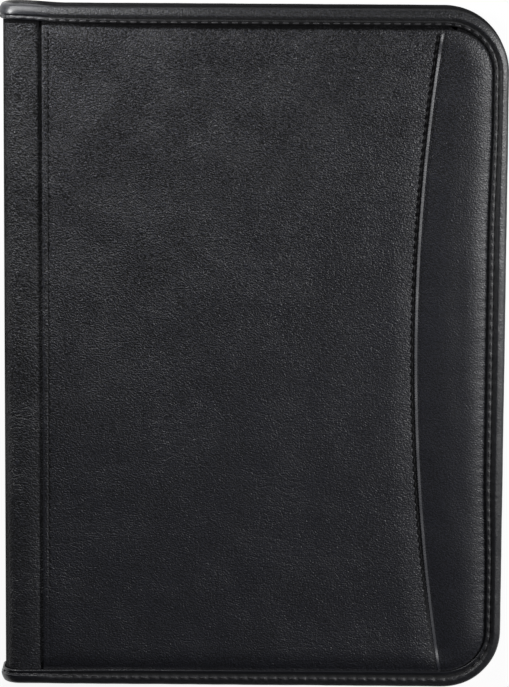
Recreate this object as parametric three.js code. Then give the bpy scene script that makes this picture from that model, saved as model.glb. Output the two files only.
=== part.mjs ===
// A letter-size padfolio, closed, lying on its back cover.
// Millimetres. +X points to the fore-edge, +Y to the head, +Z out of the front cover.
// The origin is the middle of the bottom of the closed case.
import * as THREE from 'three';

// Overall size of the closed case.
const caseWidth = 242;
const caseHeight = 330;
const caseThickness = 25.4;
const headCornerRadius = 33;
const tailCornerRadius = 30;
const spineCornerRadius = 9;

// Leather, lining and fillings.
const leatherThickness = 1;
const liningThickness = 0.6;
const pocketBackThickness = 0.8;
const boardThickness = 2;
const layerGap = 0.2;
const boardDepth = 4.8;
const boardMargin = 11;
const boardUnderSeam = 0.7;
const foamMargin = 1;
const frontFoamUnderSeam = 0.8;
const sandwichMargin = 2.6;

// The rolled binding that goes round every edge of both covers and the spine ends.
const bindingFace = 8.6;
const bindingInnerFace = 8;
const bindingWall = 1.1;
const bindingThickness = 6.8;
const bindingInset = 0.4;
const bindingFlare = 0.8;
const bindingFlareLength = 14;
const hemDropStart = 1.5;
const hemDropEnd = 14;
const runStopBeforeMouth = 6;
const stitchFromHem = 1.9;
const stitchValley = 0.35;
const valleyWidth = 1.4;
const valleyShoulder = 0.12;
const outerHemFoot = 0.1;
const outerHemBevel = 0.4;
const innerHemRise = 0.5;
const innerHemBevel = 0.3;

// The padded crown of the cover panels.
const crownFromHem = 0.3;
const marginDip = 2;
const crownWidth = 11.9;
const crownPower = 2.2;
const seamDip = 0.9;
const seamCrownWidth = 12;
const rimDip = 0.45;
const rimWidth = 2.2;

// The seam beside the spine and the slash pocket across the front.
const seamFromSpine = 20.7;
const seamUnderlap = 10.3;
const creaseBeforeSeam = 1.4;
const creaseDepth = 2.5;
const creaseSteepness = 4;
const hingeBulge = 0.9;
const mouthFromForeEdge = 43.1;
const mouthCentreY = 6;
const mouthRadius = 844;
const mouthUnderlap = 28;

// Where the covers meet the spine.
const mitreGapAngle = 1.3 * Math.PI / 180;
const spineLeatherRecess = 1.9;
const stiffenerThickness = 0.7;
const stiffenerWidth = 8.4;
const stiffenerGap = 0.6;

// The inside of the case.
const liningSkirt = 4.6;
const liningFoot = 1.4;
const liningRise = 0.4;
const pocketStepShift = 0.8;
const padWidth = 216;
const padHeight = 279;
const padFromSpine = 14.5;
const padFromTail = 25.5;
const padCornerRadius = 3;
const backingThickness = 0.8;
const paperThickness = 4.8;
const tapeThickness = 0.35;
const tapeWidth = 16;
const tapeGap = 0.1;
const padPocketHeight = 210;
const padPocketSkirt = 1.5;
const padPocketHem = 2.1;
const padPocketLean = 0.6;
const padPocketFoot = 2.3;
const padPocketRise = 1.2;
const padPocketTop = 0.2;
const documentPocketHeight = 237;
const documentPocketFromSpine = 22;
const documentPocketFoot = 2.4;
const documentPocketRise = 1.5;
const cardPocketWidth = 98;
const cardPocketHeight = 60;
const cardPocketStep = 18;
const cardPocketFromSpine = 80;
const cardPocketFromTail = 113;
const cardPocketCornerRadius = 4;
const penLoopLength = 44;
const penLoopFromHead = 51;
const penLoopHeight = 12;
const penLoopDepth = 9.3;
const penLoopWall = 0.9;

// How finely curves are divided.
const cornerSteps = 9;
const spineArcSteps = 3;
const rollSteps = 10;
const mouthSteps = 9;
const hingeBulgeSteps = 4;

// Planes and depths worked out from the sizes above. Depth is measured from the
// outermost plane of a cover towards the middle of the case.
const halfWidth = caseWidth / 2;
const halfHeight = caseHeight / 2;
const spinePlane = -halfWidth;
const spineCentreX = spinePlane + spineCornerRadius;
const spineCentreDepth = bindingInset + spineCornerRadius;
const seamX = spinePlane + seamFromSpine;
const crownStart = bindingFace + crownFromHem;
const underPanel = leatherThickness + layerGap;
const liningMarginDepth = marginDip + 2 * underPanel;
const pocketMarginDepth = liningMarginDepth + liningThickness + layerGap;
const liningDepth = boardDepth + boardThickness + layerGap;
const pocketDepth = liningDepth + liningThickness + layerGap;
const padBottom = pocketDepth;
const padPocketDepth = padBottom + backingThickness + layerGap;
const paperBottom = padPocketDepth + liningThickness + layerGap;
const padLeft = spinePlane + padFromSpine;
const padMiddleX = padLeft + padWidth / 2;
const padMiddleY = padFromTail + padHeight / 2 - halfHeight;
const padPocketHead = padPocketHeight - halfHeight;
const documentPocketHead = documentPocketHeight - halfHeight;
const mouthMiddle = halfWidth - mouthFromForeEdge;
const leatherRadius = spineCornerRadius - spineLeatherRecess;
const liningRadius = spineCentreDepth - liningMarginDepth;
const boardLeft = seamX - boardUnderSeam;
const liningLeft = boardLeft - liningSkirt;

// Insets of the rings that carry the crown: from a bound edge, from the seam and
// from the pocket mouth.
const crownRings = [
  { edge: sandwichMargin, seam: 0, mouth: 0 },
  { edge: crownStart, seam: 0.8, mouth: 0.5 },
  { edge: crownStart + 0.11 * crownWidth, seam: 1.8, mouth: 1.2 },
  { edge: crownStart + 0.28 * crownWidth, seam: 3.6, mouth: rimWidth },
  { edge: crownStart + 0.53 * crownWidth, seam: 6.5, mouth: 4 },
  { edge: crownStart + crownWidth, seam: seamCrownWidth, mouth: 8 },
];

// Colours and finishes of the materials.
const finishes = {
  leather: { color: 0x1f1e22, roughness: 0.5, metalness: 0 },
  binding: { color: 0x19181b, roughness: 0.45, metalness: 0 },
  lining: { color: 0x232226, roughness: 0.85, metalness: 0 },
  pocket: { color: 0x2a292d, roughness: 0.6, metalness: 0 },
  foam: { color: 0x6d6d70, roughness: 0.95, metalness: 0 },
  board: { color: 0x8a7a66, roughness: 0.9, metalness: 0 },
  paper: { color: 0xf1efe6, roughness: 0.9, metalness: 0 },
  elastic: { color: 0x1a1a1c, roughness: 0.9, metalness: 0 },
};

// Depth turned into height for a point of the rear or the front cover.
function place(cover, x, y, depth) {
  return new THREE.Vector3(x, y, cover === 'rear' ? depth : caseThickness - depth);
}

// A closed solid from shared points and triangles, with its faces turned outwards.
function closedSolid(points, triangles) {
  const keys = new Map();
  const merged = [];
  const indexOf = points.map((point) => {
    const key = point.toArray().map((value) => Math.round(value * 1e4)).join(' ');
    if (!keys.has(key)) {
      keys.set(key, merged.length);
      merged.push(point);
    }
    return keys.get(key);
  });
  const kept = triangles
    .map((triangle) => triangle.map((index) => indexOf[index]))
    .filter(([a, b, c]) => a !== b && b !== c && c !== a);
  const volume = kept.reduce((sum, [a, b, c]) => {
    const normal = merged[b].clone().cross(merged[c]);
    return sum + merged[a].dot(normal);
  }, 0);
  const outward = volume < 0 ? kept.map(([a, b, c]) => [a, c, b]) : kept;
  const geometry = new THREE.BufferGeometry().setFromPoints(merged);
  geometry.setIndex(outward.flat());
  geometry.computeVertexNormals();
  return geometry;
}

// Triangles that fill one flat end, given the end's outline in its own plane.
function capTriangles(outline, firstIndex) {
  const used = [];
  outline.forEach((point, index) => {
    const last = used.length ? outline[used[used.length - 1]] : null;
    if (!last || last.distanceTo(point) > 1e-4) {
      used.push(index);
    }
  });
  if (outline[used[0]].distanceTo(outline[used[used.length - 1]]) < 1e-4) {
    used.pop();
  }
  const faces = THREE.ShapeUtils.triangulateShape(used.map((index) => outline[index].clone()), []);
  return faces.map((face) => face.map((corner) => firstIndex + used[corner]));
}

// A solid lofted through rings of equally many points, closed by a flat end at each end.
function loftSolid(rings, startOutline, endOutline) {
  const count = rings[0].length;
  const triangles = [];
  for (let ring = 0; ring + 1 < rings.length; ring += 1) {
    for (let index = 0; index < count; index += 1) {
      const next = (index + 1) % count;
      const a = ring * count + index;
      const b = ring * count + next;
      const c = a + count;
      const d = b + count;
      triangles.push([a, b, d], [a, d, c]);
    }
  }
  const lastStart = (rings.length - 1) * count;
  const start = capTriangles(startOutline, 0).map(([a, b, c]) => [a, c, b]);
  triangles.push(...start, ...capTriangles(endOutline, lastStart));
  return closedSolid(rings.flat(), triangles);
}

// Distance from the nearest bound edge: head, tail or fore-edge, with round corners.
function edgeInset(x, y) {
  const radius = y > 0 ? headCornerRadius : tailCornerRadius;
  const pastX = x - (halfWidth - radius);
  const pastY = Math.abs(y) - (halfHeight - radius);
  if (pastX > 0 && pastY > 0) {
    return radius - Math.hypot(pastX, pastY);
  }
  return Math.min(halfWidth - x, halfHeight - Math.abs(y));
}

// How far a padded surface is drawn in at a distance from the line that holds it down.
function crown(distance, dip, width) {
  const share = THREE.MathUtils.clamp(distance / width, 0, 1);
  return dip * (1 - share) ** crownPower;
}

function panelDepth(x, y) {
  const atEdge = crown(edgeInset(x, y) - crownStart, marginDip, crownWidth);
  const atSeam = crown(x - seamX, seamDip, seamCrownWidth);
  return Math.max(atEdge, atSeam);
}

// The pocket mouth is one long arc that bows towards the spine.
function mouthX(y) {
  return mouthMiddle + mouthRadius - Math.sqrt(mouthRadius ** 2 - (y - mouthCentreY) ** 2);
}

// Points of a round corner, from its tail or fore-edge end to its other end.
function cornerPoints(inset, atHead) {
  const radius = atHead ? headCornerRadius : tailCornerRadius;
  const side = atHead ? 1 : -1;
  const points = [];
  for (let step = 0; step <= cornerSteps; step += 1) {
    const turn = (step / cornerSteps) * Math.PI / 2;
    const angle = atHead ? turn : turn - Math.PI / 2;
    const reach = radius - inset;
    const x = halfWidth - radius + reach * Math.cos(angle);
    const y = side * (halfHeight - radius) + reach * Math.sin(angle);
    points.push(new THREE.Vector2(x, y));
  }
  return points;
}

// Heights along a free side: close together under the binding and over the crown.
function sideStations(steps, insets = crownRings.map((ring) => ring.edge)) {
  const nearEnds = insets.map((inset) => halfHeight - inset);
  const reach = nearEnds[nearEnds.length - 1];
  const between = [];
  for (let step = 1; step < steps; step += 1) {
    between.push(reach * (2 * step / steps - 1));
  }
  return [...nearEnds.map((y) => -y), ...between, ...nearEnds.slice().reverse()];
}

// A height kept inside the head and tail lines of a ring, and inside its round corners.
function heldY(x, y, inset) {
  const radius = y > 0 ? headCornerRadius : tailCornerRadius;
  const pastX = Math.max(0, x - (halfWidth - radius));
  const limit = halfHeight - radius + Math.sqrt((radius - inset) ** 2 - pastX ** 2);
  return THREE.MathUtils.clamp(y, -limit, limit);
}

// One ring of a panel. The left side is free. The right side is free where a line is
// given and else follows the bound edge, and the head side is bound unless headY is given.
function panelRing({ inset, left, right, headY, steps = 1, insets }) {
  const ring = [];
  const topY = headY ?? halfHeight;
  const addSide = (side, y) => {
    const held = Math.min(heldY(side(y), y, inset), topY);
    ring.push(new THREE.Vector2(side(held), held));
  };
  if (right) {
    sideStations(mouthSteps).forEach((y) => addSide(right, y));
  } else {
    ring.push(...cornerPoints(inset, false));
    const head = cornerPoints(inset, true);
    ring.push(...(headY === undefined ? head : [new THREE.Vector2(halfWidth - inset, headY)]));
  }
  sideStations(steps, insets).reverse().forEach((y) => addSide(left, y));
  return ring;
}

// A panel whose outer and inner faces are given as rings that run inwards from its edge.
function panelSolid(cover, outerRings, innerRings) {
  const lift = ({ ring, depth }) => ring.map((point) => {
    const value = typeof depth === 'function' ? depth(point.x, point.y) : depth;
    return place(cover, point.x, point.y, value);
  });
  const order = [...outerRings.slice().reverse(), ...innerRings];
  return loftSolid(order.map(lift), order[0].ring, order[order.length - 1].ring);
}

// A crowned leather panel of even thickness, pressed down along every edge that is held.
function crownedPanel(cover, { left, right, top, thickness, rim = 0, steps = 1 }) {
  const rings = crownRings.map(({ edge, seam, mouth }) => panelRing({
    inset: edge,
    left: (y) => left(y) + seam,
    right: right && ((y) => right(y) - mouth),
    steps,
  }));
  const fold = (x, y) => (right && rim ? crown(right(y) - x, rim, rimWidth) : 0);
  const outer = rings.map((ring) => ({ ring, depth: (x, y) => panelDepth(x, y) + top + fold(x, y) }));
  const inner = rings.map((ring) => ({ ring, depth: (x, y) => panelDepth(x, y) + top + thickness }));
  return panelSolid(cover, outer, inner);
}

// The sheet of foam that fills a cover between its leather and its board.
function foamSolid(cover, left, top) {
  const rings = crownRings.slice(2).map(({ edge, seam }) => panelRing({
    inset: edge + foamMargin,
    left: () => left + seam,
  }));
  const outer = rings.map((ring) => ({ ring, depth: (x, y) => panelDepth(x, y) + top }));
  return panelSolid(cover, outer, [{ ring: rings[0], depth: boardDepth - layerGap / 2 }]);
}

function boardSolid(cover) {
  const ring = panelRing({ inset: boardMargin, left: () => boardLeft });
  const outer = [{ ring, depth: boardDepth }];
  const inner = [{ ring, depth: boardDepth + boardThickness }];
  return panelSolid(cover, outer, inner);
}

// A thin sheet that steps from one level to another round its edge. The inner face
// takes its step a little further out, so that the sheet keeps its thickness.
function steppedSheet(cover, levels, thickness, headY) {
  const stepsAtLeft = levels[0].left !== levels[levels.length - 1].left;
  const faceRings = (shift, added) => {
    const moved = levels.map((level, index) => {
      const out = index > 0 ? shift : 0;
      const left = level.left - (stepsAtLeft ? out : 0);
      return { edge: level.edge - out, left, depth: level.depth + added };
    });
    const insets = moved.map((level) => level.edge);
    return moved.map((level) => {
      const ring = panelRing({ inset: level.edge, left: () => level.left, headY, insets });
      return { ring, depth: stepsAtLeft ? level.depth : (x, y) => levelAt(moved, edgeInset(x, y)) };
    });
  };
  return panelSolid(cover, faceRings(0, 0), faceRings(pocketStepShift, thickness));
}

// The level of a stepped sheet at a distance from the bound edge.
function levelAt(levels, inset) {
  for (let index = 1; index < levels.length; index += 1) {
    const before = levels[index - 1];
    const after = levels[index];
    if (inset < after.edge) {
      const share = THREE.MathUtils.clamp((inset - before.edge) / (after.edge - before.edge), 0, 1);
      return before.depth + share * (after.depth - before.depth);
    }
  }
  return levels[levels.length - 1].depth;
}

// A lining lies flat on the board, and steps down past the board's edge to the binding.
function liningSolid(cover) {
  const levels = [
    { edge: sandwichMargin, left: liningLeft, depth: liningMarginDepth },
    { edge: boardMargin - liningFoot, left: boardLeft - liningFoot, depth: liningMarginDepth },
    { edge: boardMargin - liningRise, left: boardLeft - liningRise, depth: liningDepth },
  ];
  return steppedSheet(cover, levels, liningThickness);
}

// The sleeve on the rear lining that the pad's backing slides into.
function padPocketSolid() {
  const wallX = padLeft - layerGap;
  const footX = wallX - padPocketSkirt;
  const levels = [
    { edge: sandwichMargin, left: footX - padPocketHem, depth: pocketMarginDepth },
    { edge: boardMargin - padPocketFoot, left: footX, depth: pocketMarginDepth },
    { edge: boardMargin - padPocketRise, left: wallX - padPocketLean, depth: pocketDepth },
    { edge: boardMargin + padPocketTop, left: wallX, depth: padPocketDepth },
  ];
  return steppedSheet('rear', levels, liningThickness, padPocketHead);
}

// The document sleeve on the front lining, open along its head edge.
function documentPocketSolid() {
  const left = spinePlane + documentPocketFromSpine;
  const levels = [
    { edge: sandwichMargin, left, depth: pocketMarginDepth },
    { edge: boardMargin - documentPocketFoot, left, depth: pocketMarginDepth },
    { edge: boardMargin - documentPocketRise, left, depth: pocketDepth },
  ];
  return steppedSheet('front', levels, liningThickness, documentPocketHead);
}

function roundedRectangle(width, height, radius) {
  const shape = new THREE.Shape();
  const x = width / 2;
  const y = height / 2;
  shape.moveTo(-x + radius, -y);
  shape.lineTo(x - radius, -y);
  shape.absarc(x - radius, -y + radius, radius, -Math.PI / 2, 0);
  shape.lineTo(x, y - radius);
  shape.absarc(x - radius, y - radius, radius, 0, Math.PI / 2);
  shape.lineTo(-x + radius, y);
  shape.absarc(-x + radius, y - radius, radius, Math.PI / 2, Math.PI);
  shape.lineTo(-x, -y + radius);
  shape.absarc(-x + radius, -y + radius, radius, Math.PI, 1.5 * Math.PI);
  return shape;
}

function plate(width, height, thickness, radius) {
  const shape = roundedRectangle(width, height, radius);
  return new THREE.ExtrudeGeometry(shape, { depth: thickness, bevelEnabled: false, curveSegments: 4 });
}

// A point beside the spine corner, at an angle from the cover's normal to the spine's.
function spineArcPoint(radius, angle) {
  return {
    x: spineCentreX - radius * Math.sin(angle),
    depth: spineCentreDepth - radius * Math.cos(angle),
  };
}

function coverArc(radius) {
  const full = Math.PI / 4 - mitreGapAngle;
  const points = [];
  for (let step = 0; step <= spineArcSteps; step += 1) {
    points.push(spineArcPoint(radius, full * (1 - step / spineArcSteps)));
  }
  return points;
}

// The whole curve of the spine, from one mitre to the other, as height above the bottom.
function spineArc(radius) {
  const low = Math.PI / 4 + mitreGapAngle;
  const points = [];
  for (let step = 0; step <= spineArcSteps; step += 1) {
    const angle = low + (Math.PI / 2 - low) * step / spineArcSteps;
    points.push(spineArcPoint(radius, angle));
  }
  const upper = points.slice().reverse();
  return [
    ...points.map(({ x, depth }) => new THREE.Vector2(x, depth)),
    ...upper.map(({ x, depth }) => new THREE.Vector2(x, caseThickness - depth)),
  ];
}

// A strip of constant section that runs along the spine from tail to head.
function stripAlongSpine(outline, length) {
  const shape = new THREE.Shape(outline);
  const geometry = new THREE.ExtrudeGeometry(shape, { depth: length, bevelEnabled: false });
  geometry.rotateX(Math.PI / 2);
  geometry.translate(0, length / 2, 0);
  return geometry;
}

function spineSkin(outerRadius, thickness) {
  const outline = [...spineArc(outerRadius), ...spineArc(outerRadius - thickness).reverse()];
  return stripAlongSpine(outline, caseHeight - 2 * sandwichMargin);
}

// The hinge leather: round the spine corner, over the hinge bulge, into the crease, and
// on under the edge of the cover panel.
function hingeStations() {
  const creaseX = seamX - creaseBeforeSeam;
  const stations = [];
  for (let step = 1; step <= hingeBulgeSteps; step += 1) {
    stations.push(spineCentreX + (creaseX - spineCentreX) * step / hingeBulgeSteps);
  }
  const under = crownRings.slice(0, 5).map((ring) => seamX + ring.seam);
  return [...stations, seamX - layerGap, ...under, seamX + seamUnderlap];
}

function hingeDepth(x, y) {
  const flank = spineCentreDepth - leatherRadius;
  const creaseX = seamX - creaseBeforeSeam;
  if (x > creaseX + 0.01) {
    return panelDepth(Math.max(x, seamX), y) + underPanel;
  }
  const share = (x - spineCentreX) / (creaseX - spineCentreX);
  const held = crown(edgeInset(x, y) - crownStart, 1, crownWidth);
  const bulge = hingeBulge * Math.sin(Math.PI * share) * (1 - held);
  return flank + (creaseDepth - flank) * share ** creaseSteepness - bulge;
}

function hingeStripSolid(cover) {
  const rows = sideStations(1);
  const outerArc = coverArc(leatherRadius);
  const innerArc = coverArc(leatherRadius - leatherThickness);
  const stations = hingeStations();
  const section = (y) => {
    const outer = stations.map((x) => new THREE.Vector2(x, hingeDepth(x, y)));
    const inner = outer.map((point) => new THREE.Vector2(point.x, point.y + leatherThickness));
    const arcOut = outerArc.map(({ x, depth }) => new THREE.Vector2(x, depth));
    const arcIn = innerArc.map(({ x, depth }) => new THREE.Vector2(x, depth));
    return [...arcOut, ...outer, ...inner.reverse(), ...arcIn.reverse()];
  };
  const rings = rows.map((y) => section(y).map((point) => place(cover, point.x, y, point.y)));
  return loftSolid(rings, section(rows[0]), section(rows[rows.length - 1]));
}

// Soft padding that keeps the hinge bulge full.
function hingePaddingSolid(cover) {
  const creaseX = seamX - creaseBeforeSeam;
  const low = liningMarginDepth - layerGap;
  const top = [];
  for (let step = 0; step < hingeBulgeSteps; step += 1) {
    const x = spineCentreX + (creaseX - spineCentreX) * step / hingeBulgeSteps;
    top.push(new THREE.Vector2(x, hingeDepth(x, 0) + leatherThickness + layerGap));
  }
  const last = top[top.length - 1];
  const outline = [...top, new THREE.Vector2(last.x, low), new THREE.Vector2(spineCentreX, low)];
  const height = cover === 'rear' ? (depth) => depth : (depth) => caseThickness - depth;
  const section = outline.map((point) => new THREE.Vector2(point.x, height(point.y)));
  const length = caseHeight - 2 * (crownStart + crownWidth);
  return stripAlongSpine(cover === 'rear' ? section.reverse() : section, length);
}

function gutterLiningSolid(cover) {
  const endX = liningLeft - layerGap;
  const outer = [...coverArc(liningRadius), { x: endX, depth: liningMarginDepth }];
  const innerDepth = liningMarginDepth + liningThickness;
  const inner = [...coverArc(liningRadius - liningThickness), { x: endX, depth: innerDepth }];
  const length = halfHeight - sandwichMargin;
  const outline = [...outer, ...inner.reverse()];
  const rings = [-length, length].map((y) => outline.map(({ x, depth }) => place(cover, x, y, depth)));
  const flat = outline.map(({ x, depth }) => new THREE.Vector2(x, depth));
  return loftSolid(rings, flat, flat);
}

// Section of the binding: u runs inwards from the edge and v outwards from the face. The
// roll at the edge is half round, the outer leg dips at its stitches and rises to its hem.
function bindingSection(hemDrop) {
  const roll = bindingThickness / 2;
  const hollow = roll - bindingWall;
  const stitchU = bindingFace - stitchFromHem;
  const points = [];
  for (let step = 0; step <= rollSteps; step += 1) {
    const angle = Math.PI / 2 + Math.PI * step / rollSteps;
    points.push([roll + roll * Math.cos(angle), roll * Math.sin(angle) - roll]);
  }
  points.push([bindingInnerFace - innerHemBevel, -bindingThickness]);
  points.push([bindingInnerFace, -bindingThickness + innerHemRise]);
  points.push([bindingInnerFace - innerHemBevel, -bindingThickness + bindingWall]);
  const innerSteps = rollSteps - 3;
  for (let step = 0; step <= innerSteps; step += 1) {
    const angle = 1.5 * Math.PI - Math.PI * step / innerSteps;
    points.push([roll + hollow * Math.cos(angle), hollow * Math.sin(angle) - roll]);
  }
  const underside = marginDip - bindingInset - layerGap;
  points.push([stitchU, -underside]);
  points.push([bindingFace - outerHemFoot, -underside]);
  points.push([bindingFace, -underside + bindingWall / 2]);
  points.push([bindingFace - outerHemBevel, -underside + bindingWall]);
  points.push([stitchU, -stitchValley - (underside - bindingWall)]);
  points.push([stitchU - valleyWidth, -valleyShoulder]);
  return points.map(([u, v]) => {
    const onOuterLeg = v > -bindingThickness / 2 && u > roll;
    const share = onOuterLeg ? (u - roll) / (bindingFace - roll) : 0;
    return new THREE.Vector2(u, v - hemDrop * share);
  });
}

// The binding's edge line round a cover, from the spine mitre at the tail to the one at
// the head. Each stop holds a point, the way inwards and the way out of the face.
function coverEdgeStops() {
  const stops = [];
  const flared = (x) => {
    const share = THREE.MathUtils.smoothstep(-x, -spineCentreX - bindingFlareLength, -spineCentreX);
    return halfHeight + bindingFlare * share;
  };
  const addSpineEnd = (side) => coverArc(spineCornerRadius).map(({ x, depth }, index) => {
    const angle = (Math.PI / 4 - mitreGapAngle) * (1 - index / spineArcSteps);
    return {
      x,
      y: side * (halfHeight + bindingFlare),
      depth,
      inward: [0, -side],
      normal: [-Math.sin(angle), -Math.cos(angle)],
    };
  });
  const addRun = (side) => {
    const stepsHere = [0.5, 1].map((share) => spineCentreX + bindingFlareLength * share);
    const lastX = mouthX(side * halfHeight) - runStopBeforeMouth;
    return [...stepsHere, 0, lastX].map((x) => ({
      x,
      y: side * flared(x),
      depth: bindingInset,
      inward: [0, -side],
      normal: [0, -1],
    }));
  };
  const addCorner = (atHead) => cornerPoints(0, atHead).map((point, index) => {
    const turn = (index / cornerSteps) * Math.PI / 2;
    const angle = atHead ? turn : turn - Math.PI / 2;
    return {
      x: point.x,
      y: point.y,
      depth: bindingInset,
      inward: [-Math.cos(angle), -Math.sin(angle)],
      normal: [0, -1],
    };
  });
  stops.push(...addSpineEnd(-1), ...addRun(-1), ...addCorner(false));
  stops.push(...addCorner(true), ...addRun(1).reverse(), ...addSpineEnd(1).reverse());
  return stops;
}

// The front binding lies one layer lower where the pocket panel has ended.
function coverBindingSolid(cover) {
  const stops = coverEdgeStops();
  const sections = stops.map((stop) => {
    const pastMouth = THREE.MathUtils.smoothstep(stop.x - mouthX(stop.y), hemDropStart, hemDropEnd);
    return bindingSection(cover === 'front' ? underPanel * pastMouth : 0);
  });
  const rings = stops.map((stop, index) => sections[index].map(({ x: u, y: v }) => place(
    cover,
    stop.x + u * stop.inward[0] + v * stop.normal[0],
    stop.y + u * stop.inward[1],
    stop.depth + v * stop.normal[1],
  )));
  return loftSolid(rings, sections[0], sections[sections.length - 1]);
}

// The binding over one end of the spine, from the rear mitre to the front one.
function spineBindingSolid(side) {
  const low = Math.PI / 4 + mitreGapAngle;
  const stops = [];
  for (let step = 0; step <= spineArcSteps; step += 1) {
    const angle = low + (Math.PI / 2 - low) * step / spineArcSteps;
    stops.push({ ...spineArcPoint(spineCornerRadius, angle), angle, height: (depth) => depth });
  }
  stops.push(...stops.slice().reverse().map((stop) => ({
    ...stop,
    height: (depth) => caseThickness - depth,
  })));
  const section = bindingSection(0);
  const rings = stops.map(({ x, depth, angle, height }) => section.map(({ x: u, y: v }) => new THREE.Vector3(
    x - v * Math.sin(angle),
    side * (halfHeight + bindingFlare - u),
    height(depth - v * Math.cos(angle)),
  )));
  return loftSolid(rings, section, section);
}

// A flattened loop of elastic for a pen, sewn to the spine lining.
function penLoopSolid() {
  const footX = spineCentreX - liningRadius + liningThickness + layerGap;
  const middleX = footX + penLoopDepth / 2;
  const oval = (path, inset) => path.absellipse(
    middleX,
    caseThickness / 2,
    penLoopDepth / 2 - inset,
    penLoopHeight / 2 - inset,
    0,
    2 * Math.PI,
  );
  const shape = oval(new THREE.Shape(), 0);
  shape.holes.push(oval(new THREE.Path(), penLoopWall));
  const options = { depth: penLoopLength, bevelEnabled: false, curveSegments: 20 };
  const geometry = new THREE.ExtrudeGeometry(shape, options);
  geometry.rotateX(Math.PI / 2);
  geometry.translate(0, halfHeight - penLoopFromHead, 0);
  return geometry;
}

// The cloth tape that covers the glued head of the pad, down to its backing.
function headerTapeSolid() {
  const headY = padMiddleY + padHeight / 2;
  const top = paperBottom + paperThickness;
  const outline = [
    [headY - tapeWidth, top + tapeGap],
    [headY + tapeGap, top + tapeGap],
    [headY + tapeGap, padBottom],
    [headY + tapeGap + tapeThickness, padBottom],
    [headY + tapeGap + tapeThickness, top + tapeGap + tapeThickness],
    [headY - tapeWidth, top + tapeGap + tapeThickness],
  ];
  const shape = new THREE.Shape(outline.map(([y, z]) => new THREE.Vector2(y, z)));
  const length = padWidth - 2 * padCornerRadius;
  const geometry = new THREE.ExtrudeGeometry(shape, { depth: length, bevelEnabled: false });
  geometry.rotateY(Math.PI / 2);
  geometry.rotateX(Math.PI / 2);
  geometry.translate(padMiddleX - length / 2, 0, 0);
  return geometry;
}

function meshOf(name, geometry, finish, position = [0, 0, 0]) {
  const mesh = new THREE.Mesh(geometry, new THREE.MeshStandardMaterial(finishes[finish]));
  mesh.name = name;
  mesh.position.set(...position);
  return mesh;
}

// Pieces that both covers have.
function coverPieces(cover, foam) {
  return [
    meshOf(`${cover}_hinge_strip`, hingeStripSolid(cover), 'leather'),
    meshOf(`${cover}_hinge_padding`, hingePaddingSolid(cover), 'foam'),
    meshOf(`${cover}_foam`, foam, 'foam'),
    meshOf(`${cover}_board`, boardSolid(cover), 'board'),
    meshOf(`${cover}_lining`, liningSolid(cover), 'lining'),
    meshOf(`${cover}_gutter_lining`, gutterLiningSolid(cover), 'lining'),
    meshOf(`${cover}_binding`, coverBindingSolid(cover), 'binding'),
  ];
}

function rearCover() {
  const group = new THREE.Group();
  const panel = crownedPanel('rear', { left: () => seamX, top: 0, thickness: leatherThickness });
  const foamLeft = seamX + seamUnderlap + layerGap - crownRings[2].seam;
  group.add(meshOf('rear_panel', panel, 'leather'));
  group.add(...coverPieces('rear', foamSolid('rear', foamLeft, underPanel)));
  group.add(meshOf('pad_pocket', padPocketSolid(), 'pocket'));
  return group;
}

function frontCover() {
  const group = new THREE.Group();
  const pocketPanel = crownedPanel('front', {
    left: () => seamX,
    right: mouthX,
    top: 0,
    thickness: leatherThickness,
    rim: rimDip,
  });
  const foreEdgePanel = crownedPanel('front', {
    left: (y) => mouthX(y) - mouthUnderlap,
    top: underPanel,
    thickness: leatherThickness,
    steps: mouthSteps,
  });
  const pocketBack = crownedPanel('front', {
    left: () => seamX + seamUnderlap + layerGap,
    right: (y) => mouthX(y) - mouthUnderlap - layerGap,
    top: underPanel,
    thickness: pocketBackThickness,
  });
  group.add(meshOf('front_pocket_panel', pocketPanel, 'leather'));
  group.add(meshOf('front_fore_edge_panel', foreEdgePanel, 'leather'));
  group.add(meshOf('front_pocket_back', pocketBack, 'lining'));
  group.add(...coverPieces('front', foamSolid('front', seamX - frontFoamUnderSeam, 2 * underPanel)));
  group.add(meshOf('document_pocket', documentPocketSolid(), 'pocket'));
  group.add(...cardPockets());
  return group;
}

// Two stepped card pockets on the document sleeve. The lower one lies over the upper.
function cardPockets() {
  const level = liningThickness + layerGap;
  const upperTop = caseThickness - pocketDepth - level;
  const card = () => plate(cardPocketWidth, cardPocketHeight, liningThickness, cardPocketCornerRadius);
  const middleX = spinePlane + cardPocketFromSpine + cardPocketWidth / 2;
  const lowerY = cardPocketFromTail + cardPocketHeight / 2 - halfHeight;
  const upperZ = upperTop - liningThickness;
  return [
    meshOf('card_pocket_upper', card(), 'pocket', [middleX, lowerY + cardPocketStep, upperZ]),
    meshOf('card_pocket_lower', card(), 'pocket', [middleX, lowerY, upperZ - level]),
  ];
}

function spine() {
  const group = new THREE.Group();
  const stiffener = new THREE.BoxGeometry(stiffenerThickness, caseHeight - 2 * boardMargin, stiffenerWidth);
  const stiffenerX = spineCentreX - leatherRadius + leatherThickness + stiffenerGap;
  group.add(meshOf('spine_leather', spineSkin(leatherRadius, leatherThickness), 'leather'));
  group.add(meshOf('spine_stiffener', stiffener, 'board', [stiffenerX, 0, caseThickness / 2]));
  group.add(meshOf('spine_lining', spineSkin(liningRadius, liningThickness), 'lining'));
  group.add(meshOf('spine_binding_head', spineBindingSolid(1), 'binding'));
  group.add(meshOf('spine_binding_tail', spineBindingSolid(-1), 'binding'));
  group.add(meshOf('pen_loop', penLoopSolid(), 'elastic'));
  return group;
}

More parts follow.
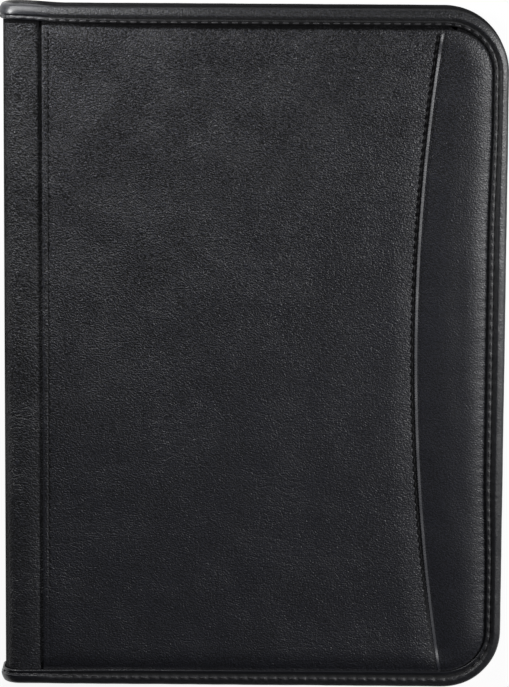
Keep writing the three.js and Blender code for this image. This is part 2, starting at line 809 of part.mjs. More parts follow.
function writingPad() {
  const group = new THREE.Group();
  const backing = plate(padWidth, padHeight, backingThickness, padCornerRadius);
  const paper = plate(padWidth, padHeight, paperThickness, padCornerRadius);
  group.add(meshOf('pad_backing', backing, 'board', [padMiddleX, padMiddleY, padBottom]));
  group.add(meshOf('pad_sheets', paper, 'paper', [padMiddleX, padMiddleY, paperBottom]));
  group.add(meshOf('pad_header_tape', headerTapeSolid(), 'elastic'));
  return group;
}

const padfolio = new THREE.Group();
padfolio.add(rearCover(), spine(), frontCover(), writingPad());

export default padfolio;
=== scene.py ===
"""Leather, linings, stitching, writing pad and studio of a closed letter-size padfolio."""
import math
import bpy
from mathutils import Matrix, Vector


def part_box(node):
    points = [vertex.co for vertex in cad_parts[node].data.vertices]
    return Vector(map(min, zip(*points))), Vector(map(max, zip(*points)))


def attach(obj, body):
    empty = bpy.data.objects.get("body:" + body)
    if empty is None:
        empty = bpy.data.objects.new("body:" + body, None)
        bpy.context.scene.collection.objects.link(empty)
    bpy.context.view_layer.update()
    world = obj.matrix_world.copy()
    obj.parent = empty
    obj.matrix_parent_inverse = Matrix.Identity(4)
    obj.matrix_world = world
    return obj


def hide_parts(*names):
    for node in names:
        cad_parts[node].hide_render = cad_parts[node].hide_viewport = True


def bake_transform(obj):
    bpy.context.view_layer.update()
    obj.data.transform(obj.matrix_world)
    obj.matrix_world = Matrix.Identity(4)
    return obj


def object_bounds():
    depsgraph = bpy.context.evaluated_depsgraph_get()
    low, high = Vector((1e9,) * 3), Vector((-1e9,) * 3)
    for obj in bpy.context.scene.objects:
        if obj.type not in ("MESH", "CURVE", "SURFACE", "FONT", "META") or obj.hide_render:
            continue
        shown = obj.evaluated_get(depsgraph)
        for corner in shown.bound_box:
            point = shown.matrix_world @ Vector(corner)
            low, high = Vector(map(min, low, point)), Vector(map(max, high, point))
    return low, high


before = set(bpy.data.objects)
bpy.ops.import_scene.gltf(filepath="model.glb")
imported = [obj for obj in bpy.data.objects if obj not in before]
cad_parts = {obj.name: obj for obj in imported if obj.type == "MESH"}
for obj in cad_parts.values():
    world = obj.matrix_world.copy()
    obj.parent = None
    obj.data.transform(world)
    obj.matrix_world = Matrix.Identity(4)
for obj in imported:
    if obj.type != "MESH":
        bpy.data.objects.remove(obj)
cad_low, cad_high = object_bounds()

from types import SimpleNamespace

import bpy
import numpy as np
from bpy.props import FloatProperty, FloatVectorProperty, IntProperty, PointerProperty
from mathutils import Matrix, Vector

bl_info = {
    "name": "Padfolio",
    "version": (1, 0, 0),
    "blender": (4, 5, 0),
    "location": "View3D > Sidebar > Padfolio",
    "description": "Builds the leather, linings, stitches and writing pad of a padfolio",
    "category": "Object",
}

CASE_MIDDLE = (cad_low.z + cad_high.z) / 2
SPINE_X = cad_low.x


# Sizes and colours that a user would change


def length(name, description, default):
    return FloatProperty(name=name, description=description, default=default, unit="LENGTH", precision=5)


def share(name, description, default):
    return FloatProperty(name=name, description=description, default=default, min=0, max=1)


def angle(name, description, default):
    return FloatProperty(name=name, description=description, default=default, subtype="ANGLE")


def power(name, description, default):
    return FloatProperty(name=name, description=description, default=default, unit="POWER")


def number(name, description, default):
    return FloatProperty(name=name, description=description, default=default)


def colour(name, description, default):
    return FloatVectorProperty(
        name=name, description=description, default=default, size=3, subtype="COLOR", min=0, max=1
    )


class CaseSizes(bpy.types.PropertyGroup):
    """Outside of the case"""

    width: length("Width", "Closed case from spine to fore-edge", cad_high.x - cad_low.x)
    height: length("Height", "Closed case from tail to head", 0.330)
    head_corner: length("Head corner", "Radius of the corner at the head of the fore-edge", 0.0305)
    tail_corner: length("Tail corner", "Radius of the corner at the tail of the fore-edge", 0.0278)
    spine_corner: length("Spine corner", "Radius of the binding where it turns over the spine", 0.009)
    leather: length("Leather", "Thickness of the cover leather", 0.001)
    layer_gap: length("Layer gap", "Room between two layers", 0.0002)
    sandwich_margin: length("Sandwich margin", "From the edge of the case to the edge of its layers", 0.0026)
    margin_dip: length("Margin dip", "How far the panels are pressed down beside the binding", 0.002)
    crown_start: length("Crown start", "From the edge of the case to where the padding starts", 0.0085)
    head_margin: length("Head margin", "How much further in the padding starts at the head", 0.0021)
    crown_width: length("Crown width", "Width of the slope of the padding", 0.0116)
    seam_from_spine: length("Seam from spine", "From the spine to the seam of the centre panel", 0.0207)
    seam_dip: length("Seam dip", "How far the panel is pressed down at the seam", 0.0009)
    seam_crown_width: length("Seam crown width", "Width of the slope beside the seam", 0.012)
    seam_underlap: length("Seam underlap", "How far the hinge leather runs under the panel", 0.0103)
    crease_before_seam: length("Crease before seam", "From the crease of the hinge to the seam", 0.0014)
    crease_depth: length("Crease depth", "Depth of the crease of the hinge", 0.0025)
    hinge_bulge: length("Hinge bulge", "How far the padding lifts the hinge leather", 0.0004)
    leather_recess: length("Leather recess", "How far the spine leather lies inside the binding", 0.0019)
    mouth_from_fore_edge: length("Mouth from fore-edge", "From the fore-edge to the pocket mouth", 0.0419)
    mouth_middle_y: length("Mouth middle height", "Height of the middle of the pocket mouth", 0.006)
    mouth_radius: length("Mouth radius", "Radius of the arc of the pocket mouth", 1.01)
    mouth_underlap: length("Mouth underlap", "How far the fore-edge panel runs under the pocket", 0.028)
    mouth_dip: length("Mouth dip", "How far the pocket panel is pressed down at its mouth", 0.0018)
    mouth_dip_width: length("Mouth dip width", "Width of the slope of the pocket panel there", 0.013)
    valley_dip: length("Valley dip", "How far the fore-edge panel is pressed down there", 0.0021)
    valley_width: length("Valley width", "Width of the slope of the fore-edge panel", 0.017)
    seam_fold_width: length("Seam fold width", "Width of the slope of the seam's folded edge", 0.0006)
    seam_fold_drop: length("Seam fold drop", "Height of the slope of the seam's folded edge", 0.0003)
    seam_ditch_start: length("Seam ditch start", "From the seam's folded edge to its ditch", 0.0021)
    seam_ditch_depth: length("Seam ditch depth", "How far its stitches pull the leather in", 0.00035)
    mouth_fold_width: length("Mouth fold width", "Width of the slope of the mouth's folded edge", 0.0011)
    mouth_fold_drop: length("Mouth fold drop", "Height of the slope of the mouth's folded edge", 0.00029)
    mouth_ditch_start: length("Mouth ditch start", "From the mouth's folded edge to its ditch", 0.0012)
    mouth_ditch_depth: length("Mouth ditch depth", "How far its stitches pull the leather in", 0.0006)
    stitch_from_fold: length("Stitch from fold", "From a folded edge to its line of stitches", 0.0025)
    ditch_reach: length("Ditch reach", "From a folded edge to the far bank of its ditch", 0.0031)
    pucker_reach: length("Pucker reach", "How far that bank swings between two stitches", 0.0009)
    wave_height: length("Wave height", "Height of the slow waves of the padding", 0.00009)
    tuck_height: length("Tuck height", "Height of the small tucks beside the binding", 0.0001)
    tuck_reach: length("Tuck reach", "How far the tucks run in from the binding", 0.0022)


class BindingSizes(bpy.types.PropertyGroup):
    """Rolled binding round the covers"""

    face: length("Face", "Width of the binding on the outside of a cover", 0.00684)
    wall: length("Wall", "Thickness of the binding leather", 0.0011)
    thickness: length("Thickness", "Height of the roll", 0.0068)
    inset: length("Inset", "Depth of the outside of the binding below the panels", 0.0004)
    flare: length("Flare", "How much further the binding stands out at the head of the spine", 0.0011)
    flare_length: length("Flare length", "Length over which the flare runs out", 0.022)
    spine_swell: length("Spine swell", "How much thicker the roll is at the spine", 0.0003)
    pillow_crest: length("Pillow crest", "From the edge to the crest of the roll at the spine", 0.0048)
    pillow_radius: length("Pillow radius", "Radius of the roll's outside at the spine", 0.007)
    head_stretch: length("Head stretch", "How much wider the binding is at the head and tail", 0.001)
    side_bow: length("Side bow", "How much wider the binding is in the middle of the fore-edge", 0.0013)
    hem_drop: length("Hem drop", "How much lower the hem lies beside the fore-edge panel", 0.0008)
    stitch_from_edge: length("Stitch from edge", "From the edge of the case to the stitches", 0.0061)
    side_shift: length("Side shift", "How much nearer to the edge the stitches are at the side", 0.0004)
    tail_shift: length("Tail shift", "How much nearer to the edge the stitches are at the tail", 0.0025)
    pucker: length("Pucker", "How far the hem sinks between two stitches", 0.0002)
    ripple: length("Ripple", "Height of the small cross folds of the roll", 0.0001)


class StitchSizes(bpy.types.PropertyGroup):
    """Lines of stitches"""

    binding_pitch: length("Binding pitch", "From one stitch of the binding to the next", 0.00478)
    seam_pitch: length("Seam pitch", "From one stitch of the seams to the next", 0.00388)
    inside_pitch: length("Inside pitch", "From one stitch of the inner pockets to the next", 0.0032)
    fill: share("Fill", "Share of the pitch that shows as thread", 0.66)
    thread: length("Thread", "Thickness of the thread", 0.00072)
    sunk_thread: length("Sunk thread", "Thickness of the thread that shows in a ditch", 0.00045)
    slant: angle("Slant", "Turn of each stitch against its line", 0.1)
    seed: IntProperty(name="Seed", description="Seed of the small differences between stitches", default=7)


class InsideSizes(bpy.types.PropertyGroup):
    """Linings, pockets and writing pad"""

    lining: length("Lining", "Thickness of linings and pockets", 0.0006)
    board_depth: length("Board depth", "Depth of the boards below the outside", 0.0048)
    board_thickness: length("Board thickness", "Thickness of the boards", 0.002)
    board_margin: length("Board margin", "From the edge of the case to the boards", 0.011)
    board_under_seam: length("Board under seam", "How far the boards run past the seam", 0.0007)
    lining_skirt: length("Lining skirt", "How far the lining runs past the board towards the spine", 0.0046)
    pocket_back: length("Pocket back", "Thickness of the back of the front pocket", 0.0008)
    hem: length("Hem", "Width of the hem at a pocket's mouth", 0.005)
    rule_pitch: length("Rule pitch", "Distance between the rules of the paper", 0.0071)


class Colours(bpy.types.PropertyGroup):
    """Colours of the finishes"""

    leather: colour("Leather", "Cover leather", (0.0084, 0.0090, 0.0136))
    # Painted shade: the hinge and spine leather is the cover leather made darker
    hinge: colour("Hinge", "Leather of the spine and its hinges", (0.0072, 0.0077, 0.0112))
    binding: colour("Binding", "Binding leather", (0.0076, 0.0080, 0.0106))
    thread: colour("Thread", "Stitching thread of the bindings", (0.038, 0.037, 0.04))
    # Painted shade: the seams' thread is made darker than the bindings' thread where it lies in its ditch
    seam_thread: colour("Seam thread", "Stitching thread of the seams", (0.012, 0.012, 0.013))
    lining: colour("Lining", "Woven lining", (0.014, 0.014, 0.016))
    pocket: colour("Pocket", "Leather of the inner pockets", (0.016, 0.0155, 0.0175))
    foam: colour("Foam", "Padding", (0.15, 0.15, 0.16))
    board: colour("Board", "Fibreboard", (0.28, 0.22, 0.16))
    backing: colour("Backing", "Chipboard of the pad", (0.33, 0.29, 0.24))
    paper: colour("Paper", "Writing paper", (0.86, 0.85, 0.8))
    rule: colour("Rule", "Rules of the paper", (0.24, 0.42, 0.7))
    margin_rule: colour("Margin rule", "Margin line of the paper", (0.75, 0.2, 0.25))
    tape: colour("Tape", "Cloth tape of the pad", (0.02, 0.02, 0.022))
    elastic: colour("Elastic", "Pen loop", (0.015, 0.015, 0.016))
    floor: colour("Floor", "Floor", (0.9, 0.9, 0.9))


class StudioSettings(bpy.types.PropertyGroup):
    """Camera and lamps"""

    camera_distance: length("Camera distance", "From the middle of the case to the camera", 2.1157)
    camera_tilt: angle("Camera tilt", "Towards the head", math.radians(10.32))
    camera_yaw: angle("Camera yaw", "Towards the fore-edge", math.radians(0.428))
    camera_roll: angle("Camera roll", "About its own axis", math.radians(0.333))
    lens: number("Lens", "Focal length in millimetres", 228.9)
    shift_x: number("Shift X", "Sideways shift", 0.00293)
    shift_y: number("Shift Y", "Upward shift", -0.00115)
    head_lamp: power("Head lamp", "Power of the lamp above the head", 0.05)
    corner_lamp: power("Corner lamp", "Power of the small lamp by the head of the spine", 0.3)
    side_lamp: power("Side lamp", "Power of the lamp at the fore-edge", 9.6)
    spine_lamp: power("Spine lamp", "Power of the lamp at the spine", 1.1)
    world: share("World", "Strength of the light from all round", 0.03)


GROUPS = {
    "padfolio_case": CaseSizes,
    "padfolio_binding": BindingSizes,
    "padfolio_stitches": StitchSizes,
    "padfolio_inside": InsideSizes,
    "padfolio_colours": Colours,
    "padfolio_studio": StudioSettings,
}


def settings(group):
    return getattr(bpy.context.scene, "padfolio_" + group)


# Shape of the case


def case_shape():
    """Sizes of the case with the planes that follow from them."""
    case, binding, inside = settings("case"), settings("binding"), settings("inside")
    c = SimpleNamespace(**{key: getattr(case, key) for key in CaseSizes.__annotations__})
    c.binding = binding
    c.inside = inside
    c.half_width = c.width / 2
    c.half_height = c.height / 2
    c.spine_centre_x = SPINE_X + c.spine_corner
    c.spine_centre_depth = binding.inset + c.spine_corner
    c.seam_x = SPINE_X + c.seam_from_spine
    c.crease_x = c.seam_x - c.crease_before_seam
    c.under_panel = c.leather + c.layer_gap
    c.mouth_x = c.half_width - c.mouth_from_fore_edge
    c.leather_radius = c.spine_corner - c.leather_recess
    c.lining_margin_depth = c.margin_dip + 2 * c.under_panel
    c.pocket_margin_depth = c.lining_margin_depth + inside.lining + c.layer_gap
    c.lining_depth = inside.board_depth + inside.board_thickness + c.layer_gap
    c.pocket_depth = c.lining_depth + inside.lining + c.layer_gap
    c.lining_radius = c.spine_centre_depth - c.lining_margin_depth
    c.board_left = c.seam_x - inside.board_under_seam
    c.lining_left = c.board_left - inside.lining_skirt
    return c


def points_at(x, y, z):
    """An array of points from coordinates that broadcast together."""
    return np.stack(np.broadcast_arrays(x, y, z), axis=-1)


def placed(cover, x, y, depth):
    """Points of a cover. Depth runs from its outermost plane towards the middle of the case."""
    return points_at(x, y, depth if cover == "rear" else cad_high.z - depth)


def mm(*values):
    """Distances in millimetres, as an array in metres."""
    return np.array(values) / 1000


def smooth(value, low, high):
    """A step from 0 to 1 between two limits."""
    t = np.clip((value - low) / (high - low), 0, 1)
    return t * t * (3 - 2 * t)


def bell(value, middle, width):
    """1 at the middle, fading out on both sides."""
    return np.exp(-(((value - middle) / width) ** 2))


def past_corner(c, x, y):
    """Radius of the nearer fore-edge corner, and how far points lie past its centre in x and y."""
    radius = np.where(y > 0, c.head_corner, c.tail_corner)
    return radius, x - (c.half_width - radius), np.abs(y) - (c.half_height - radius)


def corner_turn(past_x, past_y):
    """Angle round a corner, from 0 along the head or tail to a right angle along the fore-edge."""
    nearly_none = 1e-9
    return np.arctan2(np.maximum(past_x, nearly_none), np.maximum(past_y, nearly_none))


def edge_inset(c, x, y):
    """Distance from the nearest bound edge, with round corners."""
    radius, past_x, past_y = past_corner(c, x, y)
    straight = np.minimum(c.half_width - x, c.half_height - np.abs(y))
    round_corner = radius - np.hypot(past_x, past_y)
    return np.where((past_x > 0) & (past_y > 0), round_corner, straight)


def edge_run(c, x, y):
    """Distance along the bound edges, for what repeats along them."""
    radius, past_x, past_y = past_corner(c, x, y)
    on_side = (past_x > 0) & (past_y <= 0)
    in_corner = (past_x > 0) & (past_y > 0)
    along = np.where(on_side, radius * math.pi / 2 - past_y, past_x)
    return np.where(in_corner, radius * corner_turn(past_x, past_y), along)


def head_share(c, x, y):
    """1 along the head and the tail, 0 along the fore-edge, and less at the spine."""
    past_x, past_y = past_corner(c, x, y)[1:]
    spine_loss, fade_start, fade_end = 0.65, 0.006, 0.07
    at_spine = 1 - smooth(x, SPINE_X + fade_start, SPINE_X + fade_end)
    return np.cos(corner_turn(past_x, past_y)) ** 2 * (1 - spine_loss * at_spine)


def side_share(x, y):
    """1 in the middle of the fore-edge, 0 at its corners and along the head and tail."""
    middle = smooth(y, -0.11, -0.06) * (1 - smooth(y, 0.055, 0.115))
    return middle * (x > 0)


def padding_inset(c, x, y):
    """Distance from the line where the padding starts."""
    margin = c.crown_start + c.head_margin * head_share(c, x, y) * smooth(y, 0.0, 0.05)
    return edge_inset(c, x, y) - margin - c.binding.side_bow * side_share(x, y)


def binding_stretch(c, at):
    """How much wider than its least width the binding is at points of its edge line."""
    x, y = at[:, :1], at[:, 1:2]
    return c.binding.head_stretch * head_share(c, x, y) + c.binding.side_bow * side_share(x, y)


def crown(distance, dip, width, power=2.5):
    """A slope that falls from its full dip at its edge to nothing at its width."""
    return dip * (1 - np.clip(distance / width, 0, 1)) ** power


def mouth_x(c, y):
    """The arc of the pocket mouth."""
    return c.mouth_x + c.mouth_radius - np.sqrt(c.mouth_radius**2 - (y - c.mouth_middle_y) ** 2)


def panel_depth(c, x, y):
    """Depth of the padded panels, which are pressed down at the bound edges and at the seam."""
    at_edge = crown(padding_inset(c, x, y), c.margin_dip, c.crown_width)
    at_seam = crown(x - c.seam_x, c.seam_dip, c.seam_crown_width)
    return np.maximum(at_edge, at_seam)


def right_edge(c, y, inset):
    """The fore-edge of a layer that ends at an inset inside the case."""
    radius = np.where(y > 0, c.head_corner, c.tail_corner)
    past = np.maximum(np.abs(y) - (c.half_height - radius), 0)
    return c.half_width - radius + np.sqrt(np.maximum((radius - inset) ** 2 - past**2, 0))


def slow_waves(x, y, size, seed):
    """A gentle unevenness between -1 and 1, made of a few crossing waves of about this size."""
    rng = np.random.default_rng(seed)
    total = np.zeros(np.broadcast(x, y).shape)
    count = 7
    for _ in range(count):
        angle, phase = rng.uniform(0, 2 * math.pi, 2)
        wave = 2 * math.pi / (size * rng.uniform(0.7, 1.6))
        total = total + np.sin(wave * (x * math.cos(angle) + y * math.sin(angle)) + phase)
    return total / count


def tooth(turns):
    """A wave between -1 and 1 that rises slowly and falls fast, as leather puckers between stitches."""
    angle = 2 * math.pi * turns
    return (np.sin(angle) + 0.45 * np.sin(2 * angle) + 0.2 * np.sin(3 * angle)) / 1.2


def bank_swing(c, run):
    """How far the far bank of a ditch swings to and fro between its stitches."""
    return c.pucker_reach / 2 * tooth(run / settings("stitches").seam_pitch)


def ditch_share(c, kind, distance, run):
    """1 in the ditch beside a stitched fold, less at the tail, and 0 outside its scalloped bank."""
    start = getattr(c, kind + "_ditch_start")
    bank = c.ditch_reach + bank_swing(c, run)
    tail_share, tail_y, full_y = 0.35, -0.15, -0.085
    head_gain = tail_share + (1 - tail_share) * smooth(run, tail_y, full_y)
    within = smooth(distance, start, start + 0.0004) * (1 - smooth(distance, bank - 0.0003, bank + 0.0004))
    return head_gain * within


def folded_edge(c, kind, distance, run):
    """Extra depth beside a stitched fold: its sloping face, then the ditch of the stitches."""
    width = getattr(c, kind + "_fold_width")
    slope = getattr(c, kind + "_fold_drop") * (1 - np.clip(distance / width, 0, 1))
    return slope + getattr(c, kind + "_ditch_depth") * ditch_share(c, kind, distance, run)


def front_valley(c, x, y):
    """Extra depth of the front cover beside the pocket mouth, where its layers are sewn down."""
    from_mouth = x - mouth_x(c, y)
    held = smooth(padding_inset(c, x, y), 0, c.crown_width)
    left = crown(-from_mouth, c.mouth_dip, c.mouth_dip_width, 1.4)
    right = crown(from_mouth, c.valley_dip, c.valley_width, 1.9)
    blend = smooth(from_mouth, -0.003, 0.003)
    return (left * (1 - blend) + right * blend) * held


# Meshes


SHARP_EDGE = math.radians(50)


def new_piece(name, points, faces, rub=None):
    """A smooth-shaded mesh, with how much each point is polished with a painted highlight (1) or painted in
    shade (-1).
    """
    mesh = bpy.data.meshes.new(name)
    mesh.from_pydata(points.tolist(), [], faces)
    if rub is not None:
        values = mesh.attributes.new("rub", "FLOAT", "POINT").data
        values.foreach_set("value", rub.ravel().astype(np.float32))
    mesh.set_sharp_from_angle(angle=SHARP_EDGE)
    for polygon in mesh.polygons:
        polygon.use_smooth = True
    piece = bpy.data.objects.new(name, mesh)
    bpy.context.scene.collection.objects.link(piece)
    return piece


def outward(points, faces):
    """The faces in the order that turns a closed mesh's sides outwards."""
    quads = np.array([face for face in faces if len(face) == 4])
    a, b, c, d = (points[quads[:, k]] for k in range(4))
    volume = np.einsum("ij,ij->i", a, np.cross(b, c)).sum() + np.einsum("ij,ij->i", a, np.cross(c, d)).sum()
    for face in faces:
        if len(face) != 4:
            corners = points[list(face)]
            fan = np.cross(corners[1:-1], corners[2:])
            volume += (corners[0] * fan).sum()
    return faces if volume > 0 else [tuple(reversed(face)) for face in faces]


def shell(name, outer, inner, rub=None):
    """A closed sheet from the grids of its two sides."""
    rows, cols = outer.shape[:2]
    points = np.concatenate([outer.reshape(-1, 3), inner.reshape(-1, 3)])
    index = np.arange(rows * cols).reshape(rows, cols)
    under = index + rows * cols
    corners = [index[:-1, :-1], index[:-1, 1:], index[1:, 1:], index[1:, :-1]]
    grid = np.stack(corners, -1).reshape(-1, 4)
    back = (grid + rows * cols)[:, ::-1]
    border = np.concatenate([index[0, :-1], index[:-1, -1], index[-1, :0:-1], index[:0:-1, 0]])
    border_under = np.concatenate([under[0, :-1], under[:-1, -1], under[-1, :0:-1], under[:0:-1, 0]])
    rim = np.stack([border, border_under, np.roll(border_under, -1), np.roll(border, -1)], -1)
    faces = [tuple(face) for face in np.concatenate([grid, back, rim]).tolist()]
    return new_piece(name, points, outward(points, faces), None if rub is None else np.stack([rub, rub]))


def tube(name, rings, rub=None):
    """A closed mesh swept through rings of points, with a flat end at each end."""
    count, around = rings.shape[:2]
    points = rings.reshape(-1, 3)
    index = np.arange(count * around).reshape(count, around)
    beside = np.roll(index, -1, axis=1)
    sides = np.stack([index[:-1], beside[:-1], beside[1:], index[1:]], -1).reshape(-1, 4)
    faces = [tuple(face) for face in sides.tolist()]
    faces += [tuple(index[0, ::-1].tolist()), tuple(index[-1].tolist())]
    return new_piece(name, points, outward(points, faces), rub)


def grid_between(y, left, right, near_left, near_right, middle):
    """A grid with rows at y and columns at given distances from both sides and even between."""
    first = np.broadcast_to(left, y.shape)[:, None] + near_left
    last = np.broadcast_to(right, y.shape)[:, None] - near_right[..., ::-1]
    part = np.arange(1, middle) / middle
    between = first[:, -1:] * (1 - part) + last[:, :1] * part
    x = np.hstack([first, between, last])
    return x, np.broadcast_to(y[:, None], x.shape)


def flat_size(x, y):
    """Width and length of a sheet from the grid of its points."""
    middle = len(x) // 2
    return x[middle, -1] - x[middle, 0], y.max() - y.min()


def panel_rows(c, spacing, head_end=None):
    """Heights of a panel's rows, close together round the corners."""
    turn = np.linspace(0, math.pi / 2, 37)

    def end(radius):
        return c.half_height - radius + (radius - c.sandwich_margin) * np.sin(turn)

    tail = -end(c.tail_corner)[::-1]
    head = end(c.head_corner)
    count = round((head[0] - tail[-1]) / spacing)
    rows = np.concatenate([tail, np.linspace(tail[-1], head[0], count + 1)[1:-1], head])
    if head_end is None:
        return rows
    return np.append(rows[rows < head_end - 0.0004], head_end)


def settle(piece, material, body=None, bend=None, stands_for=()):
    """Gives a piece its finish and the body that it moves with; a piece given a fold is only baked in place.
    """
    piece.data.materials.clear()
    piece.data.materials.append(bpy.data.materials[material])
    if bend:
        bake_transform(piece)
    else:
        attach(piece, body)
    if stands_for:
        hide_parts(*stands_for)
    return piece


def fold_of(cover):
    """Where pieces bend between the spine and a cover: from the spine's flank to the cover's face."""
    start_x, start_depth = -0.1191, 0.0084
    end_x, end_depth = -0.111, 0.0014
    start = placed(cover, start_x, 0.0, start_depth)
    end = placed(cover, end_x, 0.0, end_depth)
    return ("spine", cover + "_cover", tuple(start), tuple(end))


# Nodes


class Link:
    """An output of a node. Arithmetic and comparison on it add Math nodes."""

    def __init__(self, graph, socket):
        self.graph = graph
        self.socket = socket

    def math(self, operation, *values):
        return self.graph.node("ShaderNodeMath", {"operation": operation}, dict(enumerate(values)))

    def __add__(self, other):
        return self.math("ADD", self, other)

    def __radd__(self, other):
        return self.math("ADD", other, self)

    def __sub__(self, other):
        return self.math("SUBTRACT", self, other)

    def __rsub__(self, other):
        return self.math("SUBTRACT", other, self)

    def __mul__(self, other):
        return self.math("MULTIPLY", self, other)

    def __truediv__(self, other):
        return self.math("DIVIDE", self, other)

    def __lt__(self, other):
        return self.math("LESS_THAN", self, other)

    def __gt__(self, other):
        return self.math("GREATER_THAN", self, other)

    def __abs__(self):
        return self.math("ABSOLUTE", self)

    def fraction(self):
        return self.math("FRACT", self)


class Graph:
    """A node tree that is filled by one method."""

    def __init__(self, tree):
        self.tree = tree

    def node(self, kind, settings=None, inputs=None, output=0):
        """Adds a node, sets its settings first and its sockets next, and returns one output."""
        made = self.tree.nodes.new(kind)
        for key, value in (settings or {}).items():
            setattr(made, key, value)
        for key, value in (inputs or {}).items():
            if isinstance(value, Link):
                self.tree.links.new(value.socket, made.inputs[key])
            else:
                made.inputs[key].default_value = value
        return Link(self, made.outputs[output]) if len(made.outputs) else None

    def span(self, value, low, high):
        """A smooth step from 0 to 1 between two limits."""
        sockets = {"Value": value, "From Min": low, "From Max": high, "To Min": 0.0, "To Max": 1.0}
        return self.node("ShaderNodeMapRange", {"interpolation_type": "SMOOTHSTEP"}, sockets)

    def mixed(self, factor, first, second):
        """A colour between two colours."""
        return self.node("ShaderNodeMix", {"data_type": "RGBA"}, {0: factor, 6: first, 7: second}, output=2)

    def moved(self, vector, operation, other, output="Vector"):
        return self.node("ShaderNodeVectorMath", {"operation": operation}, {0: vector, 1: other}, output)

    def turned(self, vector, rotation, scale):
        return self.node("ShaderNodeMapping", None, {"Vector": vector, "Rotation": rotation, "Scale": scale})

    def noise(self, vector, scale, detail=2.0, output="Fac"):
        inputs = {"Vector": vector, "Scale": scale, "Detail": detail}
        return self.node("ShaderNodeTexNoise", None, inputs, output)

    def creases(self, vector, scale):
        """Distance from the borders between cells."""
        inputs = {"Vector": vector, "Scale": scale}
        return self.node("ShaderNodeTexVoronoi", {"feature": "DISTANCE_TO_EDGE"}, inputs, "Distance")

    def bump(self, height, distance, normal=None):
        inputs = {"Height": height, "Distance": distance, "Strength": 1.0}
        if normal is not None:
            inputs["Normal"] = normal
        return self.node("ShaderNodeBump", None, inputs)


# A dark matte shader that paints shade into the leather's grooves, ditches and grain hollows
MATTE_SHADE = {"Base Color": (0.002, 0.002, 0.0023, 1.0), "Roughness": 1.0, "Specular IOR Level": 0.1}


def finish_of(name, build, **plain):
    """A material whose varying sockets are given by build(graph, place) and the rest by plain values.

    Where its shade value rises towards 1, it turns into a dark matte shader: painted shade.
    """
    material = bpy.data.materials.new(name)
    material.use_nodes = True
    graph = Graph(material.node_tree)
    graph.tree.nodes.clear()
    place = graph.node("ShaderNodeTexCoord", None, None, "Object")
    sockets = {key.replace("_", " ").title().replace("Ior", "IOR"): value for key, value in plain.items()}
    sockets.update(build(graph, place))
    dull = sockets.pop("dull", None)
    surface = graph.node("ShaderNodeBsdfPrincipled", None, sockets)
    if dull is not None:
        matte = graph.node("ShaderNodeBsdfPrincipled", None, MATTE_SHADE)
        surface = graph.node("ShaderNodeMixShader", None, {0: dull, 1: surface, 2: matte})
    graph.node("ShaderNodeOutputMaterial", None, {"Surface": surface})
    return material


def rgba(tone, factor=1.0):
    """A colour with its fourth channel, made darker or lighter by a factor."""
    return (*(min(1.0, channel * factor) for channel in tone), 1.0)


